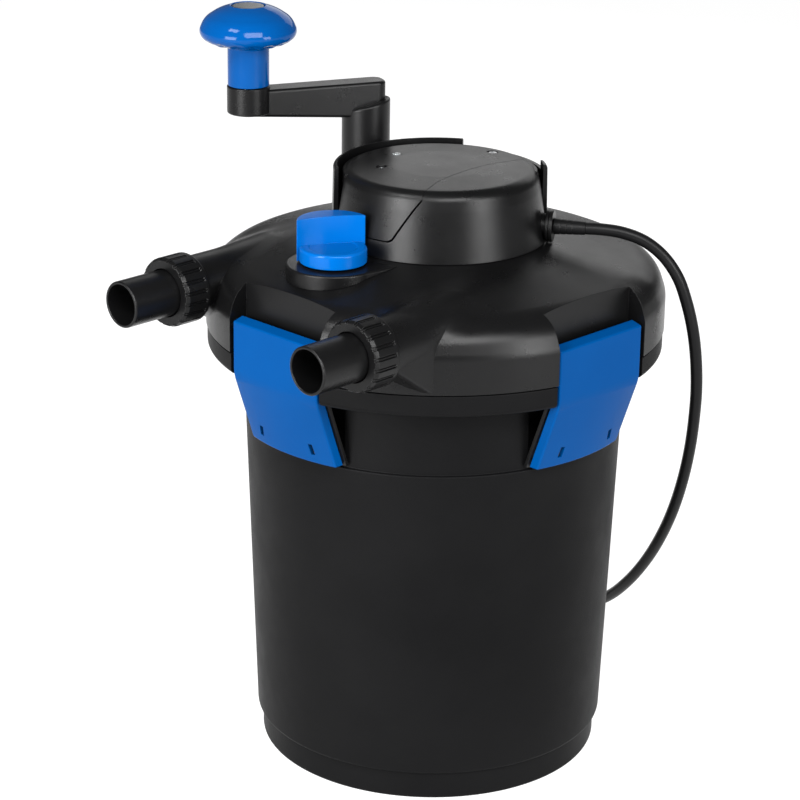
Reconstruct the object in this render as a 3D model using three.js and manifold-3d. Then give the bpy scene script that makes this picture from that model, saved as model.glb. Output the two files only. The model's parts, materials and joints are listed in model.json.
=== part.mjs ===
// Pressurized pond filter: a black tank with a clamped lid, a UV lamp head, a flow valve, two hose tails,
// and a hand crank that turns the sponge cartridge inside.
// Units are millimetres. +Z is up, the origin is the centre of the foot's underside on the tank's axis,
// and the two hose tails point towards -Y.
import * as THREE from "three";
import { mergeVertices } from "three/addons/utils/BufferGeometryUtils.js";
import Module from "manifold-3d";

const wasm = await Module();
wasm.setup();
const degrees = THREE.MathUtils.degToRad;

// ---------------------------------------------------------------- driving dimensions
const GAP = 0.3; // clearance between pieces that touch
const FINE = 48; // facets round the tank and lid
const MEDIUM = 24; // facets round pieces of 40 to 200 mm
const COARSE = 12; // facets round small pieces
const FAR = 700; // reach of the blocks that cut right through

const FOOT_R = 144;
const FOOT_H = 24;
const TANK_BOTTOM_R = 148.5;
const TANK_TOP_R = 157.6;
const TANK_TOP_Z = 293;
const WALL = 4;
const FLOOR_T = 6;
const NECK_R = 155;
const NECK_INNER_R = 142;
const POCKET_R = 147; // depth of the recess behind each clamp
const POCKET_HALF_ANGLE = degrees(17);
const BAND_R = 189;
const BAND_Z = 354;
const SEAM_Z = 372; // top of the tank's flange
const LID_Z = 373; // underside of the lid, one visible joint higher
const SEAL_R = 156;
const SEAL_W = 7;
const PIVOT_R = 18; // post on the tank's floor that the cartridge turns on
const PIVOT_TOP_Z = 34;
const PIVOT_SHOULDER_R = 30;
const PIVOT_SHOULDER_Z = 27.7;

const LID_R = 190;
const LID_EYE_R = 62; // opening under the lamp head
// Outside of the lid from its upright wall to the opening: radius, height
const LID_DOME = [[LID_R, 400], [187.8, 411], [182.5, 420], [174, 427], [160, 432.5], [123, 441], [92, 446.5],
  [LID_EYE_R - 5, 449]];
const LID_HOLLOW = [[150, LID_Z + 6], [183, LID_Z + 9], [184, 398], [182, 408], [177, 415.5], [170, 421],
  [157, 427], [121, 436], [90, 441.5], [LID_EYE_R - 5, 444]];

const PORTS = [{ side: "inlet", x: -107 }, { side: "outlet", x: 107 }];
const PORT_Z = 414;
const PIPE_R = 24;
const BORE_R = 15.5;
// Sections of the web under each pipe, from the lid's wall to the union nut: y, half width, lower edge
const GUSSET = [[-120, PIPE_R, LID_Z], [-138, PIPE_R, LID_Z], [-177, 20.5, 402]];
// Distances along -Y from the tank's axis
const PIPE_FROM = 70;
const PIPE_TO = 189;
const TAIL_R = 19;
const TAIL_BORE_R = 16.6;
const TAIL_TO = 248;
const TAIL_COLLAR_R = 23.4;
const TAIL_COLLAR_T = 4.5;
const NUT_R = 28.5;
const NUT_ROOT_R = 26.8;
const NUT_FROM = 178;
const NUT_TO = 203;
const NUT_LIP = 8;
const NUT_RIBS = 20;

const HEAD_X = 3;
const HEAD_Z = 447;
// Outside of the lamp head from its foot to the middle of its top: radius, height
const HEAD_PROFILE = [[88.5, HEAD_Z], [82.5, 487], [80, 494], [75.5, 499.5], [69, 502.5], [40, 505.5],
  [0, 506.5]];
const HEAD_REAR_R = 80;
const HEAD_HOLLOW_R = 74;
const HEAD_HOLLOW_TOP = 498;
const HEAD_FLOOR_Z = 452.5;
const SPIGOT_R = 58;
const SPIGOT_Z = 425;
const COVER_Z = 461; // lower edge of the head's cover
const COLLAR_R = 88.5;
const COLLAR_INNER_R = 84;
const COLLAR_TOP_Z = 505.5;
const COLLAR_LOW_Z = 498; // its top where it is cut lower at the back
const COLLAR_FROM = degrees(46);
const COLLAR_TO = degrees(235);
const COLLAR_CUT = [degrees(56), degrees(121)];
const SCREWS = [{ name: "front", x: -25, y: -40 }, { name: "rear", x: 2.5, y: 63 }];
const LENS_X = -42.5;
const LENS_Y = -4.5;

const SLEEVE_R = 22;
const SLEEVE_LOW = 110;
const SLEEVE_HIGH = 440;

const VALVE_Y = -118;
const PLATE_R = 38;
const PLATE_TOP_Z = 446;
const KNOB_DISC_R = 27;
const KNOB_GRIP_R = 29;
const KNOB_FLAT = degrees(62); // direction of the grip's flat face
const KNOB_FLAT_BACK = 6; // distance of that face behind the spindle's axis
const KNOB_Z = 447.5;
const KNOB_DISC_TOP = 459.5;
const KNOB_TOP = 481;
const SPINDLE_R = 6;
const SPINDLE_TOP = 456;
const ROTOR_R = 20;

const CLAMPS = [
  { side: "right", turn: 0 },
  { side: "back", turn: Math.PI / 2 },
  { side: "left", turn: Math.PI },
  { side: "front", turn: -Math.PI / 2 },
];
const COVER_HALF_W = 48.3;
const LEVER_HALF_W = 50.4;
const NOTCH_HALF_W = 51;
const NOTCH_BACK = 165;
const CLAMP_FACE = 182; // distance of the clamp's upright face from the axis
const CLAMP_TOP_Z = 400;
const CLAMP_KINK_Z = 355;
const CLAMP_BOTTOM_Z = 296;
const CLAMP_BOTTOM_R = 168;
const CLAMP_TOP_SLOPE = 0.26;
const CLAMP_DEPTH = 9.5; // the top face, front to back
const COVER_T = 3;
const COVER_SIDE = 8; // how far the cover's sides reach in
const LEVER_GAP = 0.9; // from the cover's sides to the lever's plate
const PIN_X = 175;
const PIN_Z = 394;
const PIN_R = 1.8;
const BARREL_R = 3.8;
const BARREL_HALF_W = 44.5;

const TOOTH = 3; // gear module
const PINION_TEETH = 10;
const RING_TEETH = 66;
const CRANK_DISTANCE = (TOOTH * (PINION_TEETH + RING_TEETH)) / 2;
const CRANK_ANGLE = degrees(166.4);
const CRANK_X = CRANK_DISTANCE * Math.cos(CRANK_ANGLE);
const CRANK_Y = CRANK_DISTANCE * Math.sin(CRANK_ANGLE);
const ARM_LENGTH = 104; // crank axis to grip axis
const ARM_ANGLE = degrees(245.5);
const ARM_HALF_W = 11;
const ARM_TOP_Z = 551;
const POST_R = 20.5;
const POST_Z = 447;
const POST_TOP_Z = 536;
const BOSS_R = 18;
const BOSS_Z = 531;
const BOSS_TOP_Z = 554;
const SHAFT_R = 8;
const BUSH_R = 12;
const GRIP_PIN_R = 5;
const GRIP_AXIS_Z = 600.5; // height of the mushroom's widest part
const GEAR_Z = 316;
const GEAR_H = 12;

const SPONGE_R = 120;
const SPONGE_INNER_R = 42.5;
const SPONGE_H = 80;
const SPONGES = [{ name: "lower", z: 40 }, { name: "middle", z: 122 }, { name: "upper", z: 204 }];
const STRAINER_R = 42;

const GLAND_ANGLE = degrees(33);
const GLAND_Z = 459.8;
const GLAND_FLANGE = 88.9; // distances from the head's axis
const GLAND_FACE = 94.7;
const RELIEF_END = 121;
const CORD_R = 5;
const CORD_SIDES = 10;
const COIL_X = -170;
const COIL_Y = 170;
const COIL_R = 57.5; // middle of the turns
const COIL_HALF_W = 20;
const COIL_H = 30;
const COIL_FLOOR = 0.2;
const PLUG_ANGLE = degrees(20);
const PLUG_REACH = 42.5; // distance of the plug's line from the coil's axis
const PLUG_R = 18;
// The cord from the strain relief over the lid's edge and down to the coil behind the tank
const CORD_ROUTE = [[104.8, 66.1, 459.8], [114, 73, 459.7], [128, 84.5, 457.5], [142, 96, 451],
  [154, 106, 439], [163, 115, 421], [168, 122, 399], [171, 128, 375], [171, 134, 350], [168, 141, 320],
  [161, 149, 288], [151, 158, 255], [138, 167, 220], [121, 177, 184], [100, 188, 149], [75, 200, 115],
  [47, 211, 83], [15, 223, 54], [-20, 233, 31], [-58, 240, 14.5], [-96, 242.6, 6.6], [-131, 242.5, 5.3]];

// ---------------------------------------------------------------- materials
const plastic = (color, roughness) => new THREE.MeshStandardMaterial({ color, roughness, metalness: 0 });
const metal = (color, roughness) => new THREE.MeshStandardMaterial({ color, roughness, metalness: 1 });
const BLACK = plastic(0x1b1b1c, 0.45);
const TANK_BLACK = plastic(0x202021, 0.6);
const BLUE = plastic(0x0064c4, 0.3);
const RUBBER = plastic(0x101011, 0.8);
const FOAM = plastic(0x23262b, 1);
const WHITE = plastic(0xe8e6df, 0.5);
const CLEAR = plastic(0xe9f2f5, 0.1);
const STEEL = metal(0xb9bcc0, 0.3);

// ---------------------------------------------------------------- solids
const part = new THREE.Group();

// A closed geometry as a manifold-3d solid with its faces pointing out
function solid(geometry) {
  const bare = geometry.index ? geometry.toNonIndexed() : geometry.clone();
  const points = new THREE.BufferGeometry().setAttribute("position", bare.getAttribute("position"));
  const merged = mergeVertices(points, 1e-3);
  const vertProperties = new Float32Array(merged.attributes.position.array);
  const triVerts = new Uint32Array(merged.index.array);
  const made = new wasm.Manifold(new wasm.Mesh({ numProp: 3, vertProperties, triVerts }));
  if (made.volume() > 0) return made;
  const inward = triVerts.slice();
  for (let i = 0; i < inward.length; i += 3) {
    triVerts[i + 1] = inward[i + 2];
    triVerts[i + 2] = inward[i + 1];
  }
  return new wasm.Manifold(new wasm.Mesh({ numProp: 3, vertProperties, triVerts }));
}

function geometryOf(piece) {
  const { vertProperties, triVerts, numProp } = piece.getMesh();
  const positions = new Float32Array((vertProperties.length / numProp) * 3);
  for (let i = 0; i < positions.length / 3; i++) {
    positions.set(vertProperties.subarray(i * numProp, i * numProp + 3), i * 3);
  }
  const geometry = new THREE.BufferGeometry();
  geometry.setAttribute("position", new THREE.BufferAttribute(positions, 3));
  geometry.setIndex(new THREE.BufferAttribute(new Uint32Array(triVerts), 1));
  return geometry;
}

const join = (first, ...others) => others.reduce((a, b) => a.add(b), first);
const cut = (first, ...others) => others.reduce((a, b) => a.subtract(b), first);
const common = (first, ...others) => others.reduce((a, b) => a.intersect(b), first);

function add(name, piece, material, group = part) {
  const geometry = geometryOf(piece);
  geometry.computeVertexNormals();
  const mesh = new THREE.Mesh(geometry, material.clone());
  mesh.name = name;
  group.add(mesh);
}

// A profile of [radius, height] points turned about +Z
function lathe(profile, facets = MEDIUM) {
  const points = profile.map(([radius, height]) => new THREE.Vector2(radius, height));
  return new THREE.LatheGeometry(points, facets).rotateX(Math.PI / 2);
}

function ring(inner, outer, low, high, facets = MEDIUM) {
  const profile = [[inner, low], [outer, low], [outer, high], [inner, high]];
  if (inner > 0) profile.push([inner, low]);
  return lathe(profile, facets);
}

const disc = (radius, low, high, facets = MEDIUM) => ring(0, radius, low, high, facets);

function box(low, high) {
  const size = high.map((value, i) => value - low[i]);
  const middle = high.map((value, i) => (value + low[i]) / 2);
  return new THREE.BoxGeometry(...size).translate(...middle);
}

// An outline of [x, y] points raised from low to high
function prism(outline, low, high) {
  const shape = new THREE.Shape(outline.map(([x, y]) => new THREE.Vector2(x, y)));
  return new THREE.ExtrudeGeometry(shape, { depth: high - low, bevelEnabled: false }).translate(0, 0, low);
}

// An outline of [x, z] points drawn out along Y between two values
const wall = (outline, near, far) => prism(outline, -far, -near).rotateX(Math.PI / 2);

// Points on a circle from one angle to another, both ends included
function arc(radius, from, to, steps, x = 0, y = 0) {
  return Array.from({ length: steps + 1 }, (_, i) => {
    const angle = from + ((to - from) * i) / steps;
    return [x + radius * Math.cos(angle), y + radius * Math.sin(angle)];
  });
}

// The part of a ring between two angles
function sector(inner, outer, from, to, low, high, steps) {
  return prism([...arc(outer, from, to, steps), ...arc(inner, to, from, steps)], low, high);
}

// A solid through matching closed sections, with a fan of faces over each end
function loft(sections) {
  const positions = [];
  const triangle = (a, b, c) => positions.push(...a, ...b, ...c);
  const count = sections[0].length;
  for (let s = 0; s + 1 < sections.length; s++) {
    const near = sections[s];
    const next = sections[s + 1];
    for (let i = 0; i < count; i++) {
      const j = (i + 1) % count;
      triangle(near[i], next[i], next[j]);
      triangle(near[i], next[j], near[j]);
    }
  }
  const first = sections[0];
  const last = sections[sections.length - 1];
  for (let i = 1; i + 1 < count; i++) {
    triangle(first[0], first[i], first[i + 1]);
    triangle(last[0], last[i + 1], last[i]);
  }
  return new THREE.BufferGeometry().setAttribute("position", new THREE.Float32BufferAttribute(positions, 3));
}

// A round tube of the cord's size through a list of points
function cordTube(points, steps) {
  const knots = points.map((point) => new THREE.Vector3(...point));
  const path = new THREE.CatmullRomCurve3(knots, false, "centripetal");
  const round = arc(CORD_R, 0, 2 * Math.PI, CORD_SIDES).map(([x, y]) => new THREE.Vector2(x, y));
  const section = new THREE.Shape(round);
  return solid(new THREE.ExtrudeGeometry(section, { steps, extrudePath: path, bevelEnabled: false }));
}

const onEachSide = (geometry) => CLAMPS.map(({ turn }) => solid(geometry.clone().rotateZ(turn)));

// ---------------------------------------------------------------- clamps, drawn for the one at +X
// A block behind the clamp's outer surface, with that surface moved in by inset
function clampBlock(inset, halfWidth, low) {
  const back = 140;
  const face = CLAMP_FACE - inset;
  const top = CLAMP_TOP_Z - inset;
  const stations = 6;
  return loft(Array.from({ length: stations + 1 }, (_, s) => {
    const y = -halfWidth + (2 * halfWidth * s) / stations;
    const bottom = Math.sqrt(CLAMP_BOTTOM_R ** 2 - y ** 2) - inset;
    const share = (CLAMP_KINK_Z - low) / (CLAMP_KINK_Z - CLAMP_BOTTOM_Z);
    return [
      [back, y, low],
      [face + (bottom - face) * share, y, low],
      [face, y, CLAMP_KINK_Z],
      [face, y, top],
      [back, y, top + (face - back) * CLAMP_TOP_SLOPE],
    ];
  }));
}

const alongPin = (radius, halfLength) =>
  solid(new THREE.CylinderGeometry(radius, radius, 2 * halfLength, COARSE).translate(PIN_X, 0, PIN_Z));

function clampCover() {
  const outside = solid(clampBlock(0, COVER_HALF_W, CLAMP_BOTTOM_Z));
  const inside = solid(clampBlock(COVER_T, COVER_HALF_W - COVER_T, CLAMP_BOTTOM_Z - 5));
  const behind = solid(clampBlock(COVER_SIDE, COVER_HALF_W + 5, CLAMP_BOTTOM_Z - 5));
  const pastTop = solid(box([130, -80, CLAMP_TOP_Z - COVER_SIDE], [CLAMP_FACE - CLAMP_DEPTH, 80, 430]));
  const slots = [-1, 1].map((side) => solid(box([140, side * 29 - 2, 304], [200, side * 29 + 2, 313])));
  return cut(outside, inside, behind, pastTop, alongPin(PIN_R + GAP, FAR), ...slots);
}

function clampLever() {
  const inset = COVER_SIDE + LEVER_GAP;
  const plate = cut(
    solid(clampBlock(inset, LEVER_HALF_W, CLAMP_BOTTOM_Z)),
    solid(clampBlock(inset + COVER_T, LEVER_HALF_W + 5, CLAMP_BOTTOM_Z - 5)),
    solid(box([130, -80, PIN_Z - 10], [210, 80, 430])),
  );
  const web = solid(box([PIN_X - 4.2, -BARREL_HALF_W, PIN_Z - 20], [PIN_X - 1.4, BARREL_HALF_W, PIN_Z]));
  const hook = solid(box([149.5, -40, 344], [171, 40, BAND_Z - 0.6]));
  return cut(join(plate, web, hook, alongPin(BARREL_R, BARREL_HALF_W)), alongPin(PIN_R + GAP, FAR));
}

function addClamps() {
  for (const { side, turn } of CLAMPS) {
    const clamp = new THREE.Group();
    clamp.rotation.z = turn;
    part.add(clamp);
    add(`clamp_cover_${side}`, clampCover(), BLUE, clamp);
    add(`clamp_lever_${side}`, clampLever(), BLACK, clamp);
    add(`clamp_pin_${side}`, alongPin(PIN_R, NOTCH_HALF_W + 4), STEEL, clamp);
  }
}

// ---------------------------------------------------------------- tank
function tank() {
  const outside = solid(lathe([[0, 0], [FOOT_R - 3, 0], [FOOT_R, 3], [FOOT_R, FOOT_H],
    [TANK_BOTTOM_R - 2, FOOT_H + 1], [TANK_BOTTOM_R, FOOT_H + 5], [TANK_TOP_R, TANK_TOP_Z - 2],
    [TANK_TOP_R - 1, TANK_TOP_Z], [NECK_R, TANK_TOP_Z + 0.5], [NECK_R, BAND_Z], [BAND_R - 3, BAND_Z],
    [BAND_R, BAND_Z + 4], [BAND_R, SEAM_Z], [0, SEAM_Z]], FINE));
  const inside = solid(lathe([[0, FLOOR_T], [FOOT_R - WALL, FLOOR_T], [TANK_TOP_R - WALL, TANK_TOP_Z - 14],
    [NECK_INNER_R, TANK_TOP_Z], [NECK_INNER_R, FAR], [0, FAR]], FINE));
  const pivot = solid(lathe([[0, WALL], [PIVOT_SHOULDER_R, WALL], [PIVOT_SHOULDER_R, PIVOT_SHOULDER_Z],
    [PIVOT_R, PIVOT_SHOULDER_Z], [PIVOT_R, PIVOT_TOP_Z], [0, PIVOT_TOP_Z]]));
  const groove = solid(ring(SEAL_R - SEAL_W / 2 - GAP, SEAL_R + SEAL_W / 2 + GAP, SEAM_Z - 5, FAR, FINE));
  const notches = onEachSide(box([NOTCH_BACK, -NOTCH_HALF_W, BAND_Z - 1], [FAR, NOTCH_HALF_W, FAR]));
  const pocket = sector(POCKET_R, LID_R + 5, -POCKET_HALF_ANGLE, POCKET_HALF_ANGLE, TANK_TOP_Z + 1, BAND_Z,
    6);
  return join(cut(outside, inside, groove, ...notches, ...onEachSide(pocket)), pivot);
}

// ---------------------------------------------------------------- lid and hose ports
// A piece turned about +Z laid along -Y through a port: its heights are distances from the tank's axis
const alongPort = (geometry, x) => solid(geometry.rotateX(Math.PI / 2).translate(x, 0, PORT_Z));

function lidOutside(raised) {
  const dome = LID_DOME.map(([radius, height]) => [radius, height + raised]);
  return solid(lathe([[0, LID_Z], [LID_R, LID_Z], ...dome, [0, 449 + raised]], FINE));
}

function lid() {
  const outside = lidOutside(0);
  const hollow = solid(lathe([[0, LID_Z - 1], [150, LID_Z - 1], ...LID_HOLLOW, [0, 444]], FINE));
  const behindNotch = onEachSide(box([NOTCH_BACK - WALL, -58, LID_Z], [LID_R + 5, 58, 440]));
  const notches = onEachSide(box([NOTCH_BACK, -NOTCH_HALF_W, LID_Z - 1], [FAR, NOTCH_HALF_W, FAR]));
  const pinHole = new THREE.CylinderGeometry(PIN_R + GAP, PIN_R + GAP, 2 * NOTCH_HALF_W + 9, COARSE);
  const pinHoles = onEachSide(pinHole.translate(PIN_X, 0, PIN_Z));
  const eye = solid(disc(LID_EYE_R, LID_Z, FAR + 100));
  const shell = join(cut(outside, hollow), common(outside, join(...behindNotch)));
  const bushBoss = solid(disc(23, 412, 446.5).translate(CRANK_X, CRANK_Y, 0));
  const bushBore = solid(disc(BUSH_R + GAP, 400, 500, COARSE).translate(CRANK_X, CRANK_Y, 0));
  const spindleBore = solid(disc(SPINDLE_R + GAP, 400, 500, COARSE).translate(0, VALVE_Y, 0));
  const pipes = PORTS.map(({ x }) => alongPort(disc(PIPE_R, PIPE_FROM, PIPE_TO), x));
  const web = loft(GUSSET.map(([y, half, low]) => [[-half, y, low], [half, y, low], [half, y, PORT_Z],
    [-half, y, PORT_Z]]));
  const gussets = PORTS.map(({ x }) => cut(solid(web.clone().translate(x, 0, 0)), hollow));
  const bores = PORTS.map(({ x }) => alongPort(disc(BORE_R, PIPE_FROM + 40, PIPE_TO + 5), x));
  const mouths = PORTS.map(({ x }) => solid(box([x - 13, -140, LID_Z - 1], [x + 13, -112, PORT_Z])));
  const grooves = PORTS.map(({ x }) => alongPort(ring(18, 22, PIPE_TO - 3, PIPE_TO + 5), x));
  const body = join(shell, bushBoss, ...pipes, ...gussets);
  return cut(body, eye, bushBore, spindleBore, ...bores, ...mouths, ...grooves,
    ...notches, ...pinHoles);
}

function hoseTail(x) {
  const start = PIPE_TO + GAP;
  return alongPort(lathe([[TAIL_BORE_R, start], [TAIL_COLLAR_R, start],
    [TAIL_COLLAR_R, start + TAIL_COLLAR_T], [TAIL_R, start + TAIL_COLLAR_T], [TAIL_R, TAIL_TO - 1],
    [TAIL_R - 0.7, TAIL_TO], [TAIL_BORE_R, TAIL_TO],
    [TAIL_BORE_R, start]]), x);
}

function unionNut(x) {
  const pitch = (2 * Math.PI) / NUT_RIBS;
  const outline = Array.from({ length: NUT_RIBS }, (_, i) => [
    ...arc(NUT_R, (i - 0.3) * pitch, (i + 0.3) * pitch, 1),
    ...arc(NUT_ROOT_R, (i + 0.38) * pitch, (i + 0.62) * pitch, 1),
  ]).flat();
  const body = alongPort(prism(outline, NUT_FROM, NUT_TO), x);
  const thread = alongPort(disc(PIPE_R + 0.7, NUT_FROM - 1, NUT_TO - NUT_LIP), x);
  const lip = alongPort(disc(TAIL_R + 0.7, NUT_FROM, NUT_TO + 1), x);
  return cut(body, thread, lip);
}

function addPorts() {
  for (const { side, x } of PORTS) {
    add(`hose_tail_${side}`, hoseTail(x), BLACK);
    add(`union_nut_${side}`, unionNut(x), BLACK);
    add(`port_seal_${side}`, alongPort(ring(18 + GAP, 22 - GAP, PIPE_TO - 2.7, PIPE_TO), x), RUBBER);
  }
}

// ---------------------------------------------------------------- lamp head
// The region of the head that its cover takes, drawn in by inset
function coverRegion(inset) {
  const edge = [[60, -120], [55, -90], [46, -62], [40, -48], [34, -20], [31.5, 5], [30.5, 30], [33, 60],
    [38, 120]];
  const moved = edge.map(([x, y]) => [x - inset, y]);
  const plan = prism([[-120, 120], [-120, -120], ...moved], COVER_Z + inset, 520);
  const step = wall([[-120, COVER_Z], [30 - inset, COVER_Z], [35 - inset, 466], [51 - inset, 504],
    [58 - inset, 521], [-120, 521]], -130, 130);
  return common(solid(plan), solid(step));
}

// The head's drum with its hollow, before the cover is parted from the base
function drum() {
  const outside = lathe([[0, HEAD_Z], ...HEAD_PROFILE]).translate(HEAD_X, 0, 0);
  const rear = sector(HEAD_REAR_R, 120, COLLAR_FROM - 0.08, COLLAR_TO + 0.08, HEAD_Z - 1, 520, 24);
  const hollow = lathe([[0, HEAD_FLOOR_Z], [HEAD_HOLLOW_R, HEAD_FLOOR_Z], [HEAD_HOLLOW_R, 488],
    [66, HEAD_HOLLOW_TOP], [0, HEAD_HOLLOW_TOP + 2]]).translate(HEAD_X, 0, 0);
  return cut(solid(outside), solid(rear.translate(HEAD_X, 0, 0)), solid(hollow));
}

// A piece turned about +Z laid along the lead's way out of the head
const outOfHead = (geometry) =>
  solid(geometry.rotateY(Math.PI / 2).rotateZ(GLAND_ANGLE).translate(HEAD_X, 0, GLAND_Z));

function headBase() {
  const spigot = solid(ring(SPIGOT_R - 8, SPIGOT_R, SPIGOT_Z, HEAD_FLOOR_Z));
  const lampPlate = solid(ring(27 + GAP, SPIGOT_R, SPIGOT_Z, SPIGOT_Z + 6));
  const eye = solid(disc(SPIGOT_R - 8, SPIGOT_Z + 6, HEAD_FLOOR_Z + 1));
  const pillar = disc(6, HEAD_FLOOR_Z - 1, 493.5, COARSE);
  const pillars = SCREWS.map(({ x, y }) => solid(pillar.clone().translate(x, y, 0)));
  const threads = SCREWS.map(({ x, y }) => solid(disc(1.8 + GAP, 474, 500, COARSE).translate(x, y, 0)));
  const glandHole = outOfHead(disc(10 + GAP, 60, 110, COARSE));
  const shell = cut(drum(), coverRegion(0), lidOutside(GAP), eye);
  return cut(join(shell, spigot, lampPlate, ...pillars), glandHole, ...threads);
}

function headCover() {
  const holes = SCREWS.map(({ x, y }) => solid(disc(2 + GAP, 490, 520, COARSE).translate(x, y, 0)));
  const sinks = SCREWS.map(({ x, y }) => solid(disc(4.6, 501, 520, COARSE).translate(x, y, 0)));
  const lensHole = solid(disc(3.8, 480, 520, COARSE).translate(LENS_X, LENS_Y, 0));
  return cut(common(drum(), coverRegion(GAP)), ...holes, ...sinks, lensHole);
}

function headCollar() {
  const fence = sector(COLLAR_INNER_R, COLLAR_R, COLLAR_FROM, COLLAR_TO, HEAD_Z + GAP, COLLAR_TOP_Z, 24);
  const taper = lathe([[0, HEAD_Z], [COLLAR_R, HEAD_Z], [COLLAR_R - 1.2, COLLAR_TOP_Z - 5],
    [COLLAR_INNER_R + 1, COLLAR_TOP_Z], [0, COLLAR_TOP_Z]], FINE);
  const lower = sector(70, 120, ...COLLAR_CUT, COLLAR_LOW_Z, 520, 8);
  return cut(common(solid(fence), solid(taper)), solid(lower)).translate([HEAD_X, 0, 0]);
}

function coverScrew({ x, y }) {
  const head = solid(disc(4, 501.3, 503.8, COARSE).translate(x, y, 0));
  const shank = solid(disc(1.8, 476, 502, COARSE).translate(x, y, 0));
  const slot = solid(box([x - 3, y - 0.5, 503], [x + 3, y + 0.5, 505]));
  return cut(join(head, shank), slot);
}

function uvLamp() {
  const tubes = [-9, 9].map((x) => solid(disc(7, 130, 425, COARSE).translate(x, 0, 0)));
  const bridge = solid(box([-9, -5, 132], [9, 5, 142]));
  const base = solid(disc(17, 418, 430.7));
  return join(...tubes, bridge, base);
}

function addHead() {
  add("head_base", headBase(), BLACK);
  add("head_cover", headCover(), BLACK);
  add("head_collar", headCollar(), BLACK);
  for (const screw of SCREWS) add(`cover_screw_${screw.name}`, coverScrew(screw), STEEL);
  add("indicator_lens", solid(disc(3.5, 492, 507, COARSE).translate(LENS_X, LENS_Y, 0)), CLEAR);
  add("ballast", solid(box([-56, -40, HEAD_FLOOR_Z + GAP], [-33, 40, 490])), WHITE);
  add("lamp_holder", solid(disc(16, 431, 470)), WHITE);
  add("uv_lamp", uvLamp(), CLEAR);
  add("quartz_sleeve", solid(lathe([[0, SLEEVE_LOW], [SLEEVE_R, SLEEVE_LOW], [SLEEVE_R, SLEEVE_HIGH],
    [SLEEVE_R - 2, SLEEVE_HIGH], [SLEEVE_R - 2, SLEEVE_LOW + 2], [0, SLEEVE_LOW + 2]])), CLEAR);
  add("sleeve_seal", solid(ring(SLEEVE_R + GAP, 27, 425.5, 430.5)), RUBBER);
  add("sleeve_nut", solid(ring(SLEEVE_R + GAP, 36, 416, SPIGOT_Z - GAP)), BLACK);
}

// ---------------------------------------------------------------- flow valve
function valvePlate() {
  const shoulder = [[43, -84], [-43, -84]];
  const outline = [...arc(PLATE_R, Math.PI, 2 * Math.PI, 16, 0, VALVE_Y), ...shoulder];
  const headFoot = solid(disc(HEAD_PROFILE[0][0] + GAP, 400, 500, FINE).translate(HEAD_X, 0, 0));
  const bore = solid(disc(SPINDLE_R + 4, 400, 500, COARSE).translate(0, VALVE_Y, 0));
  return cut(solid(prism(outline, 420, PLATE_TOP_Z)), lidOutside(GAP), headFoot, bore);
}

function flowKnob() {
  const base = solid(disc(KNOB_DISC_R, KNOB_Z, KNOB_DISC_TOP).translate(0, VALVE_Y, 0));
  const corner = Math.asin(KNOB_FLAT_BACK / KNOB_GRIP_R);
  const halfMoon = arc(KNOB_GRIP_R, KNOB_FLAT + corner, KNOB_FLAT + Math.PI - corner, 16, 0, VALVE_Y);
  const grip = solid(prism(halfMoon, KNOB_Z, KNOB_TOP));
  const bore = solid(disc(SPINDLE_R + GAP, 400, SPINDLE_TOP + GAP, COARSE).translate(0, VALVE_Y, 0));
  return cut(join(base, grip), bore);
}

function valveRotor() {
  const barrel = solid(disc(ROTOR_R, 394, 426).translate(0, VALVE_Y, 0));
  const spindle = solid(disc(SPINDLE_R, 420, SPINDLE_TOP, COARSE).translate(0, VALVE_Y, 0));
  const waterway = solid(box([-FAR, VALVE_Y - 8, 400], [FAR, VALVE_Y + 8, 420]));
  return cut(join(barrel, spindle), waterway);
}

function addValve() {
  add("valve_plate", valvePlate(), BLACK);
  const seal = ring(SPINDLE_R + GAP, SPINDLE_R + 3.7, 444, 446.3, COARSE);
  add("valve_seal", solid(seal.translate(0, VALVE_Y, 0)), RUBBER);
  add("flow_knob", flowKnob(), BLUE);
  add("valve_rotor", valveRotor(), BLACK);
}

// ---------------------------------------------------------------- crank
// A piece drawn with the crank's axis at the origin and its arm along +X, put in place
const onCrank = (geometry) => solid(geometry.rotateZ(ARM_ANGLE).translate(CRANK_X, CRANK_Y, 0));
const onGrip = (geometry) => onCrank(geometry.translate(ARM_LENGTH, 0, 0));

function crankArm() {
  const plan = [...arc(ARM_HALF_W, Math.PI / 2, 1.5 * Math.PI, 8, -6, 0), [ARM_LENGTH, -ARM_HALF_W],
    [ARM_LENGTH, ARM_HALF_W]];
  const side = wall([[-30, 522], [POST_R, 522], [ARM_LENGTH, 529], [ARM_LENGTH, ARM_TOP_Z],
    [-30, ARM_TOP_Z]], -20, 20);
  const bar = common(onCrank(prism(plan, 515, ARM_TOP_Z)), onCrank(side));
  const post = onCrank(disc(POST_R, POST_Z, POST_TOP_Z));
  const boss = onGrip(disc(BOSS_R, BOSS_Z, BOSS_TOP_Z));
  const shaftBore = onCrank(disc(SHAFT_R + GAP, POST_Z - 1, 530.5, COARSE));
  const pinBore = onGrip(disc(GRIP_PIN_R + GAP, BOSS_Z - 1, BOSS_TOP_Z + 1, COARSE));
  return cut(join(bar, post, boss), shaftBore, pinBore);
}

function crankKnob() {
  const bore = GRIP_PIN_R + GAP;
  const low = BOSS_TOP_Z + 0.6;
  return onGrip(lathe([[bore, low], [17.3, low], [17.3, 587], [22, 589.5], [31, 592], [37, 595.5],
    [40, GRIP_AXIS_Z], [38, 606], [32, 612.5], [24, 617.5], [14, 621.3], [14, 618], [bore, 618],
    [bore, low]]));
}

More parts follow.
